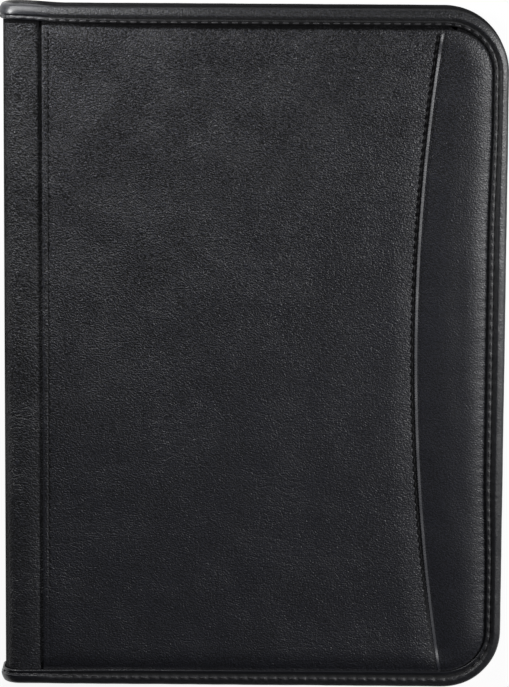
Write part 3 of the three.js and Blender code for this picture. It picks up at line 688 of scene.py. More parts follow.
def leather_finish(
    tone, cell=0.00112, relief=0.00024, wrinkles=0.5, roughness=0.42, polish=0.09, hollow_shade=0.43
):
    """Leather of small islands between creases, crumpled in patches, smooth where it is polished.

    Where the mesh marks a point as polished, the leather is smoother and painted lighter as a highlight.
    Where the mesh marks shade, it is painted darker and matte. The cell is the width of an island, the
    relief is the height of the grain, polish is how much smoother the polished leather is, and the last
    value sets how much painted shade darkens the hollows of the grain.
    """

    def build(g, place):
        rub = g.node("ShaderNodeAttribute", {"attribute_name": "rub"}, None, "Fac")
        polish_and_highlight = g.span(rub, 0.0, 1.0)
        painted_shade = g.span(rub, 0.0, -1.0)
        warp = g.moved(g.noise(place, 0.55 / cell, 2.0, "Color"), "SUBTRACT", (0.5, 0.5, 0.5))
        bent = g.moved(place, "ADD", g.moved(warp, "MULTIPLY", (cell * 0.9, cell * 0.9, cell * 0.9)))
        one_way = g.creases(g.turned(bent, (0.0, 0.0, 0.5), (0.58, 1.0, 1.0)), 1 / cell)
        other_way = g.creases(g.turned(bent, (0.0, 0.0, -0.7), (0.58, 1.0, 1.0)), 1 / cell)
        either = g.span(g.noise(place, 70.0, 2.0), 0.42, 0.58)
        islands = g.span(one_way * either + other_way * (1.0 - either), 0.0, 0.55)
        grit = g.span(g.noise(bent, 1.6 / cell, 0.0), 0.32, 0.68)
        patches = g.span(g.noise(place, 38.0, 2.0), 0.4, 0.62)
        streaks = g.noise(g.turned(bent, (0.0, 0.0, 0.75), (0.35, 1.0, 1.0)), 0.3 / cell, 3.0)
        ridge = g.span(abs(streaks - 0.5), 0.0, 0.045)
        folds = (1.0 - ridge) * patches
        slow = g.noise(place, 24.0, 2.0)
        towards_head = g.moved(place, "DOT_PRODUCT", (-0.8, 1.0, 0.0), "Value")
        # Grain relief and grain colour contrast grow towards the head and the spine, where the lamps fall;
        # the stronger colour contrast there is a painted highlight
        head_gain = g.span(towards_head, -0.1, 0.22) + 0.6
        height = (islands * 0.65 + grit * 0.5 - folds * wrinkles) * (1.0 - polish_and_highlight * 0.9) * head_gain
        normal = g.bump(height, relief, g.bump(slow, 0.0012))
        grain = islands * 0.45 + grit * 0.55
        # Grain colour, with a contrast that grows towards the head as painted highlight
        base = g.mixed((grain - 0.5) * head_gain + 0.5, rgba(tone, 0.0), rgba(tone, 2.2))
        cloud = g.span(g.noise(place, 60.0, 3.0), 0.3, 0.7)
        base = g.mixed(cloud * 0.2, base, rgba(tone, 1.6))
        # Painted highlight: polished leather is painted lighter
        base = g.mixed(polish_and_highlight * 0.5, base, rgba(tone, 1.5))
        # Painted shade: darker colour in grooves, ditches, creases and under the binding
        base = g.mixed(painted_shade * 0.8, base, rgba(tone, 0.3))
        rough = roughness + (1.0 - islands) * 0.1 + painted_shade * 0.45 - polish_and_highlight * polish - cloud * 0.03
        # Painted shade: a dark matte shader mixed in where shade is painted and in the hollows of the grain
        dull = painted_shade * 0.65 + (1.0 - grain) * head_gain * (1.25 - patches * 0.5) * (1.0 - polish_and_highlight) * hollow_shade
        return {"Base Color": base, "Roughness": rough, "Normal": normal, "dull": dull}

    return build


def woven_finish(tone, pitch, relief, roughness, across=0.0):
    """A plain weave on the piece's own coordinates."""

    def build(g, place):
        turned = g.turned(place, (0.0, 0.0, across), (1.0, 1.0, 1.0))
        wave = {"Vector": turned, "Scale": 0.5 / pitch, "Distortion": 0.4, "Detail": 1.0}
        warp = g.node("ShaderNodeTexWave", {"bands_direction": "X"}, wave, "Fac")
        weft = g.node("ShaderNodeTexWave", {"bands_direction": "Y"}, wave, "Fac")
        threads = warp * weft
        soil_and_shade = g.noise(place, 90.0, 3.0)
        base = g.mixed(threads, rgba(tone, 0.7), rgba(tone, 1.25))
        rough = roughness + soil_and_shade * 0.08
        return {"Base Color": base, "Roughness": rough, "Normal": g.bump(threads, relief)}

    return build


def grainy_finish(tone, scale, relief, roughness, spread=0.25):
    """Small speckles, for board, chipboard, foam and thread."""

    def build(g, place):
        specks = g.noise(place, scale, 5.0)
        clouds = g.noise(place, scale * 0.06, 2.0)
        base = g.mixed(specks, rgba(tone, 1 - spread), rgba(tone, 1 + spread))
        base = g.mixed(clouds * 0.3, base, rgba(tone, 1 - spread * 0.5))
        return {"Base Color": base, "Roughness": roughness + specks * 0.08, "Normal": g.bump(specks, relief)}

    return build


def paper_finish(colours, inside, box):
    """Writing paper with pale rules and a margin line on its face, and sheet edges on its sides."""
    low, high = box
    head_space, tail_space, margin_space = 0.026, 0.009, 0.032
    rule_share = 0.045
    margin_half_width = 0.0002

    def build(g, place):
        x, y, z = (g.node("ShaderNodeSeparateXYZ", None, {"Vector": place}, axis) for axis in ("X", "Y", "Z"))
        lines = (high.y - head_space - y) / inside.rule_pitch
        on_face = z > high.z - 0.0001
        within = (y < high.y - head_space + 0.001) * (y > low.y + tail_space)
        rule = (lines.fraction() < rule_share) * within * on_face
        margin = (abs(x - (low.x + margin_space)) < margin_half_width) * on_face
        fibres = g.noise(place, 900.0, 4.0)
        along = {"W": z * 9000.0, "Scale": 1.0, "Detail": 1.0}
        sheets = g.node("ShaderNodeTexNoise", {"noise_dimensions": "1D"}, along, "Fac")
        base = g.mixed(fibres * 0.12, rgba(colours.paper), rgba(colours.paper, 0.93))
        base = g.mixed((1.0 - on_face) * sheets * 0.35, base, rgba(colours.paper, 0.7))
        base = g.mixed(rule * 0.55, base, rgba(colours.rule))
        base = g.mixed(margin * 0.6, base, rgba(colours.margin_rule))
        normal = g.bump(fibres + (1.0 - on_face) * sheets * 3.0, 0.00002)
        return {"Base Color": base, "Roughness": 0.82 + fibres * 0.08, "Normal": normal}

    return build


class PADFOLIO_OT_finishes(bpy.types.Operator):
    """Makes the finishes of leather, cloth, board, paper and thread"""

    bl_idname = "padfolio.finishes"
    bl_label = "Finishes"

    def execute(self, context):
        k = settings("colours")
        fore_edge = leather_finish(k.leather, 0.0011, 0.00014, 0.3, hollow_shade=0.34)
        binding = leather_finish(k.binding, 0.0012, 0.00009, 0.3, polish=0.14, hollow_shade=0.1)
        finish_of("cover_leather", leather_finish(k.leather), ior=1.6)
        finish_of("hinge_leather", leather_finish(k.hinge, 0.0013, 0.00026, 0.8, 0.46), ior=1.6)
        finish_of("fore_edge_leather", fore_edge, ior=1.6)
        finish_of("binding_leather", binding, ior=1.6)
        finish_of("pocket_leather", leather_finish(k.pocket, 0.0009, 0.00008, 0.2, 0.5, hollow_shade=0.2))
        finish_of("thread", grainy_finish(k.thread, 3000.0, 0.00003, 0.3))
        finish_of("seam_thread", grainy_finish(k.seam_thread, 3000.0, 0.00003, 0.7))
        finish_of("lining_cloth", woven_finish(k.lining, 0.0006, 0.00008, 0.78))
        finish_of("foam", grainy_finish(k.foam, 1400.0, 0.0004, 0.9))
        finish_of("fibreboard", grainy_finish(k.board, 900.0, 0.0001, 0.85))
        finish_of("chipboard", grainy_finish(k.backing, 1300.0, 0.00008, 0.85, 0.18))
        finish_of("paper", paper_finish(k, settings("inside"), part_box("pad_sheets")))
        finish_of("cloth_tape", woven_finish(k.tape, 0.0008, 0.0001, 0.7))
        finish_of("elastic", woven_finish(k.elastic, 0.0009, 0.00016, 0.8, math.pi / 2))
        return {"FINISHED"}


# Cover leather


# Distances of a panel's columns from a sewn edge, closest together over its ditch
EDGE_STEPS = mm(
    0, 0.12, 0.35, 0.6, 0.85, 1.1, 1.25, 1.45, 1.65, 1.9, 2.2, 2.5, 2.7, 2.85, 3.0, 3.15, 3.3, 3.5, 3.8,
    4.4, 5.4, 7, 9.5, 12, 15,
)


# Distances of a panel's columns from the fore-edge, closest together where the padding starts
SLOPE_STEPS = mm(0, 2, 4, 5.5, 6.3, 7, 7.7, 8.4, 9.2, 10, 11, 12, 13.2, 14.5)

# How strong a seam's polish, painted highlight on its fold and painted shade in its ditch are, next to those
# of the pocket mouth
SEAM_SHEEN_AND_SHADE = 0.55


def edge_columns(c, run):
    """Distances of the columns beside a sewn edge: those at the far bank of the ditch swing with it."""
    follow = smooth(EDGE_STEPS, 0.0016, 0.0027) * (1 - smooth(EDGE_STEPS, 0.0033, 0.007))
    return EDGE_STEPS + follow * bank_swing(c, run)[:, None]


class PADFOLIO_OT_panels(bpy.types.Operator):
    """Makes the padded leather panels of both covers"""

    bl_idname = "padfolio.panels"
    bl_label = "Cover panels"

    def execute(self, context):
        c = case_shape()
        self.pocket_panel(c)
        self.fore_edge_panel(c)
        self.rear_panel(c)
        return {"FINISHED"}

    def surface(self, c, x, y, top, seed):
        """Outside of a panel with the small unevenness of hand-filled padding."""
        inset = padding_inset(c, x, y)
        free = smooth(inset, 0, 0.012) * smooth(x, c.seam_x + 0.003, c.seam_x + 0.012)
        waves = c.wave_height * slow_waves(x, y, 0.045, seed) + 0.00004 * slow_waves(x, y, 0.017, seed + 1)
        tucks = c.tuck_height * np.cos(2 * math.pi * edge_run(c, x, y) / settings("stitches").binding_pitch)
        tucks = tucks * bell(np.maximum(inset, 0), 0, c.tuck_reach) * (inset > -0.001)
        return panel_depth(c, x, y) + top + c.wave_height * free + waves * free + tucks

    def margin_shade(self, c, x, y):
        """Painted shade: -1 in the groove between the padding and the binding, and nearer to 0 at the
        fore-edge.
        """
        groove = smooth(padding_inset(c, x, y), -0.0011, -0.0001) - 1
        return groove * (0.3 + 0.7 * head_share(c, x, y))

    def sewn_edge(self, c, kind, distance, x, y):
        """Extra depth beside a sewn edge, with the polish and painted highlight of its fold and the painted
        shade of its ditch.
        """
        free = smooth(padding_inset(c, x, y), -0.001, 0.003)
        start = getattr(c, kind + "_ditch_start")
        width = getattr(c, kind + "_fold_width")
        rub = 1 - smooth(distance, width, width + 0.0002)
        soil_and_shade = smooth(distance, start, start + 0.0002) * ditch_share(c, kind, distance - 0.0002, y)
        return folded_edge(c, kind, distance, y) * free, (rub - soil_and_shade) * free

    def pocket_panel(self, c):
        """The panel between the front seam and the pocket mouth."""
        y = panel_rows(c, 0.0006)
        beside = edge_columns(c, y)
        x, y = grid_between(y, c.seam_x, mouth_x(c, y), beside, beside, 16)
        at_seam, seam_sheen_and_shade = self.sewn_edge(c, "seam", x - c.seam_x, x, y)
        at_mouth, mouth_sheen_and_shade = self.sewn_edge(c, "mouth", mouth_x(c, y) - x, x, y)
        depth = self.surface(c, x, y, 0.0, 11) + at_seam + at_mouth
        valley = front_valley(c, x, y)
        outer = placed("front", x, y, depth + valley)
        inner = placed("front", x, y, panel_depth(c, x, y) + c.leather + valley)
        # Polish with painted highlight on the folds, painted shade in the ditches and in the groove by the
        # binding
        rub = seam_sheen_and_shade * SEAM_SHEEN_AND_SHADE + mouth_sheen_and_shade + self.margin_shade(c, x, y)
        piece = shell("front_pocket_leather", outer, inner, rub)
        settle(piece, "cover_leather", "front_cover", stands_for=["front_pocket_panel"])

    def fore_edge_panel(self, c):
        """The panel that runs from under the pocket mouth to the fore-edge."""
        y = panel_rows(c, 0.0013)
        left = mouth_x(c, y) - c.mouth_underlap
        near_left = mm(0, 5, 11, 15, 18, 20.5, 22.5, 24, 25.5, 27, 28.5, 30, 32, 34)
        x, y = grid_between(y, left, right_edge(c, y, c.sandwich_margin), near_left, SLOPE_STEPS, 20)
        valley = front_valley(c, x, y)
        outer = placed("front", x, y, self.surface(c, x, y, c.under_panel, 31) + valley)
        inner = placed("front", x, y, panel_depth(c, x, y) + c.under_panel + c.leather + valley)
        piece = shell("front_fore_edge_leather", outer, inner, self.margin_shade(c, x, y))
        settle(piece, "fore_edge_leather", "front_cover", stands_for=["front_fore_edge_panel"])

    def rear_panel(self, c):
        """The whole panel of the rear cover."""
        y = panel_rows(c, 0.0009)
        near_right = np.append(SLOPE_STEPS, mm(16, 17.5, 19, 21))
        x, y = grid_between(
            y, c.seam_x, right_edge(c, y, c.sandwich_margin), edge_columns(c, y), near_right, 46
        )
        at_seam, rub = self.sewn_edge(c, "seam", x - c.seam_x, x, y)
        outer = placed("rear", x, y, self.surface(c, x, y, 0.0, 51) + at_seam)
        inner = placed("rear", x, y, panel_depth(c, x, y) + c.leather)
        piece = shell("rear_panel_leather", outer, inner, rub * SEAM_SHEEN_AND_SHADE + self.margin_shade(c, x, y))
        settle(piece, "cover_leather", "rear_cover", stands_for=["rear_panel"])


def hinge_depth(c, x, y):
    """Depth of the hinge leather: over the hinge bulge, into the crease and under the panel."""
    flank = c.spine_centre_depth - c.leather_radius
    part = np.clip((x - c.spine_centre_x) / (c.crease_x - c.spine_centre_x), 0, 1)
    held = crown(padding_inset(c, x, y), 1.0, c.crown_width)
    bulge = c.hinge_bulge * np.sin(math.pi * part) * (1 - held)
    before = flank + (c.crease_depth - flank) * part**4 - bulge
    after = panel_depth(c, np.maximum(x, c.seam_x), y) + c.under_panel
    return np.where(x > c.crease_x + 1e-5, after, before)


def round_spine(c, radius):
    """Half of the spine's curve at a radius: from the middle of the spine to the cover."""
    flat = np.linspace(CASE_MIDDLE, c.spine_centre_depth, 6)[:-1]
    turn = np.linspace(math.pi / 2, 0, 14)
    x = c.spine_centre_x - radius * np.append(np.ones(len(flat)), np.sin(turn))
    depth = np.concatenate([flat, c.spine_centre_depth - radius * np.cos(turn)])
    return x, depth


class PADFOLIO_OT_hinges(bpy.types.Operator):
    """Makes the leather that folds between the spine and each cover"""

    bl_idname = "padfolio.hinges"
    bl_label = "Hinge leather"

    def execute(self, context):
        c = case_shape()
        y = panel_rows(c, 0.0016)
        run = np.concatenate([
            np.linspace(c.spine_centre_x, c.crease_x, 18)[1:],
            c.crease_x + mm(0.3, 0.7, 1.1),
            c.seam_x + mm(0.3, 1.2, 3.6, 6.5, 10.3),
        ])
        round_spine_length = math.pi / 2 * c.leather_radius + CASE_MIDDLE - c.spine_centre_depth
        wide = round_spine_length + run[-1] - c.spine_centre_x
        x, depth = self.side(c, run, y, c.leather_radius, 0.0)
        inner_x, inner_depth = self.side(c, run, y, c.leather_radius - c.leather, c.leather)
        depth = depth + self.slack(c, x, y[:, None])
        for cover in ("front", "rear"):
            outer = placed(cover, x, y[:, None], depth)
            inner = placed(cover, inner_x, y[:, None], inner_depth)
            piece = shell(cover + "_hinge_leather", outer, inner, self.polish_and_shading(c, x, y[:, None]))
            nodes = [cover + "_hinge_strip", "spine_leather"]
            settle(piece, "hinge_leather", bend=fold_of(cover), stands_for=nodes)
            flat = (wide, y[-1] - y[0])
        return {"FINISHED"}

    def side(self, c, run, y, radius, added):
        """One side of the leather: round the spine at a radius, then over the hinge."""
        arc_x, arc_depth = round_spine(c, radius)
        x = np.broadcast_to(np.concatenate([arc_x, run]), (len(y), len(arc_x) + len(run)))
        on_arc = np.append(arc_depth, np.zeros(len(run)))
        return x, np.where(x > c.spine_centre_x, hinge_depth(c, x, y[:, None]) + added, on_arc)

    def slack(self, c, x, y):
        """Slow waves of the leather between the spine and the crease."""
        column_step = 0.0008
        columns = np.arange(x.shape[1]) * column_step
        waves = 0.00008 * slow_waves(columns, y, 0.03, 71)
        return waves * (x > c.spine_centre_x) * (x < c.crease_x - 0.001)

    def polish_and_shading(self, c, x, y):
        """Painted shade (-1) under the binding, in the crease, and less so on the back of the spine."""
        soil_and_shade = -0.6 * (1 - smooth(x, SPINE_X + 0.002, SPINE_X + 0.005))
        soil_and_shade = np.minimum(soil_and_shade, smooth(padding_inset(c, x, y), -0.0014, -0.0007) - 1)
        crease = bell(x, c.crease_x + 0.0002, 0.0014) * (0.3 + 0.6 * smooth(y, -0.06, 0.14))
        return soil_and_shade - crease


# Binding


def binding_section(binding):
    """Outline of the rolled binding: u runs inwards from the edge, v outwards from the face.

    It goes from the hem over the roll and down the edge to the inside of the cover, and back.
    """
    roll = binding.thickness / 2
    hollow = roll - binding.wall
    hem = binding.face * 1000
    outer_mm = [
        (hem - 0.12, -1.4), (hem - 0.02, -1.22), (hem, -0.98), (hem - 0.12, -0.7), (hem - 0.3, -0.5),
        (hem - 0.52, -0.42), (hem - 0.78, -0.42), (hem - 1.0, -0.5), (hem - 1.26, -0.63),
        (hem - 1.55, -0.77), (hem - 1.75, -0.85), (4.8, -0.8), (4.55, -0.65), (4.25, -0.44), (3.9, -0.23),
        (3.5, -0.07), (3.15, 0.0), (2.8, -0.05), (2.4, -0.19), (1.95, -0.38), (1.5, -0.58), (1.1, -0.77),
        (0.75, -0.98), (0.45, -1.3), (0.2, -1.77), (0.07, -2.4), (0.0, -3.0),
    ]
    turn = np.linspace(math.pi, 3 * math.pi / 2, 10)
    lower = [(roll + roll * math.cos(a), roll * math.sin(a) - roll) for a in turn]
    inner_mm = [
        (4.6, -6.8), (5.8, -6.72), (6.7, -6.66), (7.4, -6.74), (7.75, -6.66), (7.98, -6.35), (7.9, -5.95),
        (7.6, -5.75), (6.0, -5.7), (4.6, -5.7),
    ]
    turn = np.linspace(3 * math.pi / 2, math.pi / 2, 10)
    back = [(roll + hollow * math.cos(a), hollow * math.sin(a) - roll) for a in turn]
    under_mm = [(4.6, -1.5), (5.6, -1.52), (hem - 0.6, -1.44)]
    outer, inner, under = (np.array(points) / 1000 for points in (outer_mm, inner_mm, under_mm))
    return np.concatenate([outer, lower, inner, back, under])


def binding_path(c):
    """Edge line of a cover's binding from the middle of the spine at the tail to the one at the head.

    It comes as points, directions inwards, directions out of the face, and distances along it.
    """
    b = c.binding
    step = 0.00085

    def half(side):
        flare = b.flare if side > 0 else 0.0

        def flared(x):
            return c.half_height + flare * smooth(-x, -c.spine_centre_x - b.flare_length, -c.spine_centre_x)

        parts = []
        y_spine = side * (c.half_height + flare)
        count = max(2, round((CASE_MIDDLE - c.spine_centre_depth) / step))
        for depth in np.linspace(CASE_MIDDLE, c.spine_centre_depth, count + 1)[:-1]:
            parts.append((SPINE_X, y_spine, depth, 0, -side, 0, -1, 0, 0))
        for turn in np.linspace(math.pi / 2, 0, 20)[:-1]:
            sine, cosine = math.sin(turn), math.cos(turn)
            x = c.spine_centre_x - c.spine_corner * sine
            depth = c.spine_centre_depth - c.spine_corner * cosine
            parts.append((x, y_spine, depth, 0, -side, 0, -sine, 0, -cosine))
        radius = c.head_corner if side > 0 else c.tail_corner
        end = c.half_width - radius
        for x in np.linspace(c.spine_centre_x, end, round((end - c.spine_centre_x) / step) + 1)[:-1]:
            parts.append((x, side * flared(x), b.inset, 0, -side, 0, 0, 0, -1))
        for turn in np.linspace(0, math.pi / 2, round(radius * math.pi / 2 / step) + 1)[:-1]:
            sine, cosine = math.sin(turn), math.cos(turn)
            y = side * (c.half_height - radius + radius * cosine)
            parts.append((end + radius * sine, y, b.inset, -sine, -side * cosine, 0, 0, 0, -1))
        reach = c.half_height - radius
        for y in np.linspace(reach, 0, round(reach / step) + 1):
            parts.append((c.half_width, side * y, b.inset, -1, 0, 0, 0, 0, -1))
        return parts

    stops = np.array(half(-1) + half(1)[-2::-1], float)
    steps = np.linalg.norm(np.diff(stops[:, :3], axis=0), axis=1)
    run = np.concatenate([[0], np.cumsum(steps)])
    return stops[:, 0:3], stops[:, 3:6], stops[:, 6:9], run


def hem_drop(c, cover, at):
    """The front binding lies lower where the pocket panel has ended."""
    if cover == "rear":
        return np.zeros(len(at))
    return c.binding.hem_drop * smooth(at[:, 0] - mouth_x(c, at[:, 1]), 0.0, 0.0075)


def on_binding(cover, at, inward, normal, u, v):
    """Points at u inwards from the edge line and v out of the face."""
    moved = at[:, None, :] + u[..., None] * inward[:, None, :] + v[..., None] * normal[:, None, :]
    return placed(cover, moved[..., 0], moved[..., 1], moved[..., 2])


def hem_share(u):
    """0 on the roll of the binding and 1 on its hem."""
    return smooth(u, 0.003, 0.005)


def thread_inset(c, at):
    """How far from the edge the stitches of a binding lie: at the tail they run along its middle."""
    along = head_share(c, at[:, :1], at[:, 1:2])
    tail = along * (at[:, 1:2] < 0)
    return c.binding.stitch_from_edge - c.binding.side_shift * (1 - along) - c.binding.tail_shift * tail


def binding_stitch_line(c, cover, path):
    """Where the thread lies on the outside of a binding, and how many stitches lie before each point."""
    at, inward, normal = path[:3]
    section = binding_section(c.binding)
    top = section[section[:, 1] > -0.00095]
    inset = thread_inset(c, at)
    u = inset + binding_stretch(c, at) * inset / c.binding.face
    v = np.interp(inset, top[::-1, 0], top[::-1, 1]) + 0.00012
    v = v - hem_drop(c, cover, at)[:, None] * hem_share(inset)
    line = on_binding(cover, at, inward, normal, u, v)[:, 0]
    steps = np.linalg.norm(np.diff(line, axis=0), axis=1)
    along = np.concatenate([[0], np.cumsum(steps)])
    count = math.floor(along[-1] / settings("stitches").binding_pitch)
    return line, along / along[-1] * count


class PADFOLIO_OT_binding(bpy.types.Operator):
    """Makes the rolled binding round both covers and over the spine ends"""

    bl_idname = "padfolio.binding"
    bl_label = "Binding"

    def execute(self, context):
        c = case_shape()
        section = binding_section(c.binding)
        path = binding_path(c)
        at, inward, normal, run = path
        for cover, seed in (("front", 5), ("rear", 6)):
            u = np.broadcast_to(section[:, 0], (len(at), len(section)))
            v = np.broadcast_to(section[:, 1], u.shape)
            zones = self.zones(c, cover, path, u, v)
            # Polish with painted highlight, and painted shade, on the roll
            rub = self.polish_and_shading(cover, zones, u, v)
            drop = hem_drop(c, cover, at)[:, None] * hem_share(u) * zones.outside
            raised = self.relief(c.binding, zones, run[:, None], u, v, drop, seed)
            spread = binding_stretch(c, at) * np.clip(u / c.binding.face, 0, 1) * zones.outside
            u = u + self.wander(c.binding, run[:, None], u, seed) + spread
            rings = on_binding(cover, at, inward, normal, u, raised)
            piece = tube(cover + "_binding_leather", rings, rub)
            nodes = [cover + "_binding", "spine_binding_head", "spine_binding_tail"]
            settle(piece, "binding_leather", bend=fold_of(cover), stands_for=nodes)
        return {"FINISHED"}

    def zones(self, c, cover, path, u, v):
        """Parts of the roll, each 1 inside and 0 outside."""
        at = path[0]
        thread = c.binding.stitch_from_edge
        face_depth, flank_reach, crest = 0.0012, 0.002, 0.0022
        spine_fade_start, spine_fade_end = 0.028, 0.012
        turns = binding_stitch_line(c, cover, path)[1][:, None]
        z = SimpleNamespace()
        z.outside = v > -c.binding.thickness / 2
        z.on_face = z.outside & (v > -face_depth)
        z.flank = u < flank_reach
        z.at_spine = smooth(-at[:, :1], c.half_width - spine_fade_start, c.half_width - spine_fade_end)
        z.beside = 1 - head_share(c, at[:, :1], at[:, 1:2])
        z.tail = (1 - z.beside) * (at[:, 1:2] < 0)
        z.crest = bell(u, crest, crest) * z.outside
        z.thread = bell(u, thread_inset(c, at), 0.0009) * z.on_face
        z.between_stitches = (0.5 - 0.5 * np.cos(2 * math.pi * turns)) ** 2
        z.ditch = bell(u, thread - 0.0014, 0.0008) * z.on_face
        z.lip = smooth(u, thread - 0.0008, thread - 0.0004) * z.on_face
        return z

    def polish_and_shading(self, cover, z, u, v):
        """How polished with a painted highlight (1) or painted in shade (-1) the points of the roll are.

        The lip of the hem gets a painted highlight at the fore-edge, the spine and the tail, and painted
        shade at the head.
        """
        # Polish with painted highlight on the spine's pillow and the fore-edge crest, slight painted shade on
        # the crest at the head
        rub = np.maximum(z.at_spine * (u < 0.0055) * z.outside, (0.5 * z.beside - 0.2) * z.crest)
        dents = z.between_stitches * (1 - z.at_spine) * (1 - z.tail - 0.3 * z.beside)
        # The lip's painted highlight, with painted shade at the head and between the stitches
        rub = rub + z.lip * (0.85 * z.beside - 0.65 + 1.3 * z.at_spine + 1.5 * z.tail - dents)
        # Painted shade on the lower outer edge of the roll and in the ditch
        flank_shade = 0.9 * smooth(-v, 0.0013, 0.002) * z.flank
        rub = rub - (z.ditch * (0.7 - 0.3 * z.beside) + flank_shade) * (1 - z.at_spine)
        # Painted shade on the rear roll's outer edge at the head and tail
        if cover == "rear":
            rub = rub - smooth(-v, 0.0004, 0.0012) * z.flank * (1 - z.beside)
        return rub

    def relief(self, b, z, run, u, v, drop, seed):
        """The section's height: fuller at the spine, dropped at the hem, puckered and creased."""
        pillow_drop = b.pillow_radius - np.sqrt(b.pillow_radius**2 - np.maximum(b.pillow_crest - u, 0) ** 2)
        pillow = b.spine_swell - pillow_drop - 0.0012 * (1 - np.clip(u / 0.0009, 0, 1)) ** 2
        swell = z.at_spine * (1 - smooth(u, b.pillow_crest - 0.0006, b.pillow_crest + 0.0001)) * z.outside
        pucker = b.pucker * (1 + 1.5 * z.tail) * z.thread * z.between_stitches
        tail_lip = 0.0003 * z.tail * bell(u, b.face - 0.0002, 0.0004) * z.on_face
        across = slow_waves(run, u * 0.15, 0.0032, seed) + slow_waves(run, u, 0.0019, seed + 3)
        creases = b.ripple * across * bell(u, 0.0034, 0.0018) * z.outside * (1 - z.at_spine)
        return v * (1 - swell) + pillow * swell - drop - pucker + tail_lip + creases

    def wander(self, b, run, u, seed):
        """How far the roll strays sideways."""
        slow = 0.00008 * slow_waves(run, u * 6, 0.02, seed)
        quick = 0.00003 * slow_waves(run, u * 3, 0.006, seed + 9)
        return (slow + quick) * (u < b.thickness / 2)


# Inside layers


class PADFOLIO_OT_padding(bpy.types.Operator):
    """Makes the foam under the leather and the back of the front pocket"""

    bl_idname = "padfolio.padding"
    bl_label = "Padding"

    def execute(self, context):
        c = case_shape()
        near = mm(0, 1.2, 2.6, 4.2, 6, 8, 10.5)
        beside_hinge = c.seam_x + c.seam_underlap + c.layer_gap
        self.foam(c, "front", 2 * c.under_panel, c.seam_x + 0.0012, near)
        self.foam(c, "rear", c.under_panel, beside_hinge, near)
        y = panel_rows(c, 0.004)
        right = mouth_x(c, y) - c.mouth_underlap - c.layer_gap
        x, y = grid_between(y, beside_hinge, right, near, near, 24)
        top = panel_depth(c, x, y) + c.under_panel + front_valley(c, x, y)
        outer = placed("front", x, y, top)
        piece = shell("front_pocket_lining", outer, placed("front", x, y, top + c.inside.pocket_back))
        settle(piece, "lining_cloth", "front_cover", stands_for=["front_pocket_back"])
        flat_size(x, y)
        return {"FINISHED"}

    def foam(self, c, cover, top, left, near):
        """The padding of a cover, and the filling of its hinge."""
        margin = c.crown_start + 0.0024
        y = panel_rows(c, 0.004)
        y = y * (c.half_height - margin) / y.max()
        x, y = grid_between(y, left, right_edge(c, y, margin), near, near, 30)
        low = np.full(x.shape, c.inside.board_depth - c.layer_gap / 2)
        valley = front_valley(c, x, y) if cover == "front" else 0
        upper = np.minimum(panel_depth(c, x, y) + top + valley, low - 0.0001)
        piece = shell(cover + "_cover_padding", placed(cover, x, y, upper), placed(cover, x, y, low))
        settle(piece, "foam", cover + "_cover", stands_for=[cover + "_foam"])
        self.hinge_filling(c, cover)

    def hinge_filling(self, c, cover):
        """The soft filling that keeps the hinge bulge full."""
        low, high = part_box(cover + "_hinge_padding")
        y = np.linspace(low.y, high.y, 60)
        x = np.broadcast_to(np.linspace(low.x, high.x, 12), (len(y), 12))
        y = np.broadcast_to(y[:, None], x.shape)
        under = np.full(x.shape, c.lining_margin_depth - c.layer_gap)
        over = hinge_depth(c, x, y) + c.leather + c.layer_gap
        piece = shell(cover + "_hinge_filling", placed(cover, x, y, over), placed(cover, x, y, under))
        settle(piece, "foam", cover + "_cover", stands_for=[cover + "_hinge_padding"])


def stepped(c, x, y, levels):
    """Level of an inner sheet that steps up from its margin. Each level is (edge, left, depth)."""
    inset = edge_inset(c, x, y)
    depth = np.full(x.shape, levels[0][2])
    for (edge_a, left_a, depth_a), (edge_b, left_b, depth_b) in zip(levels, levels[1:]):
        part = smooth(inset, edge_a, edge_b)
        if left_a != left_b:
            part = np.minimum(part, smooth(x, left_a, left_b))
        depth = depth + (depth_b - depth_a) * part
    return depth


class PADFOLIO_OT_linings(bpy.types.Operator):
    """Makes the linings of the covers and of the spine"""

    bl_idname = "padfolio.linings"
    bl_label = "Linings"

    def execute(self, context):
        c = case_shape()
        margin = c.inside.board_margin
        levels = [
            (margin - 0.0018, c.board_left - 0.0018, c.lining_margin_depth),
            (margin - 0.0004, c.board_left - 0.0004, c.lining_depth),
        ]
        near_left = mm(0, 1.5, 2.6, 2.9, 3.2, 3.5, 3.8, 4.1, 4.4, 5, 7)
        near_right = mm(0, 3, 5.8, 6.6, 6.8, 7.1, 7.4, 7.7, 8, 8.3, 9, 11)
        for cover in ("front", "rear"):
            y = panel_rows(c, 0.002)
            right = right_edge(c, y, c.sandwich_margin)
            x, y = grid_between(y, c.lining_left, right, near_left, near_right, 60)
            depth = stepped(c, x, y, levels)
            inner = placed(cover, x, y, depth + c.inside.lining)
            piece = shell(cover + "_lining_cloth", placed(cover, x, y, depth), inner)
            settle(piece, "lining_cloth", cover + "_cover", stands_for=[cover + "_lining"])
            flat_size(x, y)
            self.gutter(c, cover)
        return {"FINISHED"}

    def gutter(self, c, cover):
        """Half of the lining that folds along the spine."""
        end = c.lining_left - c.layer_gap
        reach = c.half_height - c.sandwich_margin
        y = np.linspace(-reach, reach, 120)
        run = np.linspace(c.spine_centre_x, end, 6)[1:]
        sides = []
        for radius in (c.lining_radius, c.lining_radius - c.inside.lining):
            arc_x, arc_depth = round_spine(c, radius)
            x = np.concatenate([arc_x, run])
            depth = np.concatenate([arc_depth, np.full(len(run), c.spine_centre_depth - radius)])
            sides.append(placed(cover, *np.broadcast_arrays(x, y[:, None], depth)))
        piece = shell(cover + "_gutter_cloth", *sides)
        nodes = [cover + "_gutter_lining", "spine_lining"]
        settle(piece, "lining_cloth", bend=fold_of(cover), stands_for=nodes)
        wide = math.pi / 2 * c.lining_radius + CASE_MIDDLE - c.spine_centre_depth + end - c.spine_centre_x


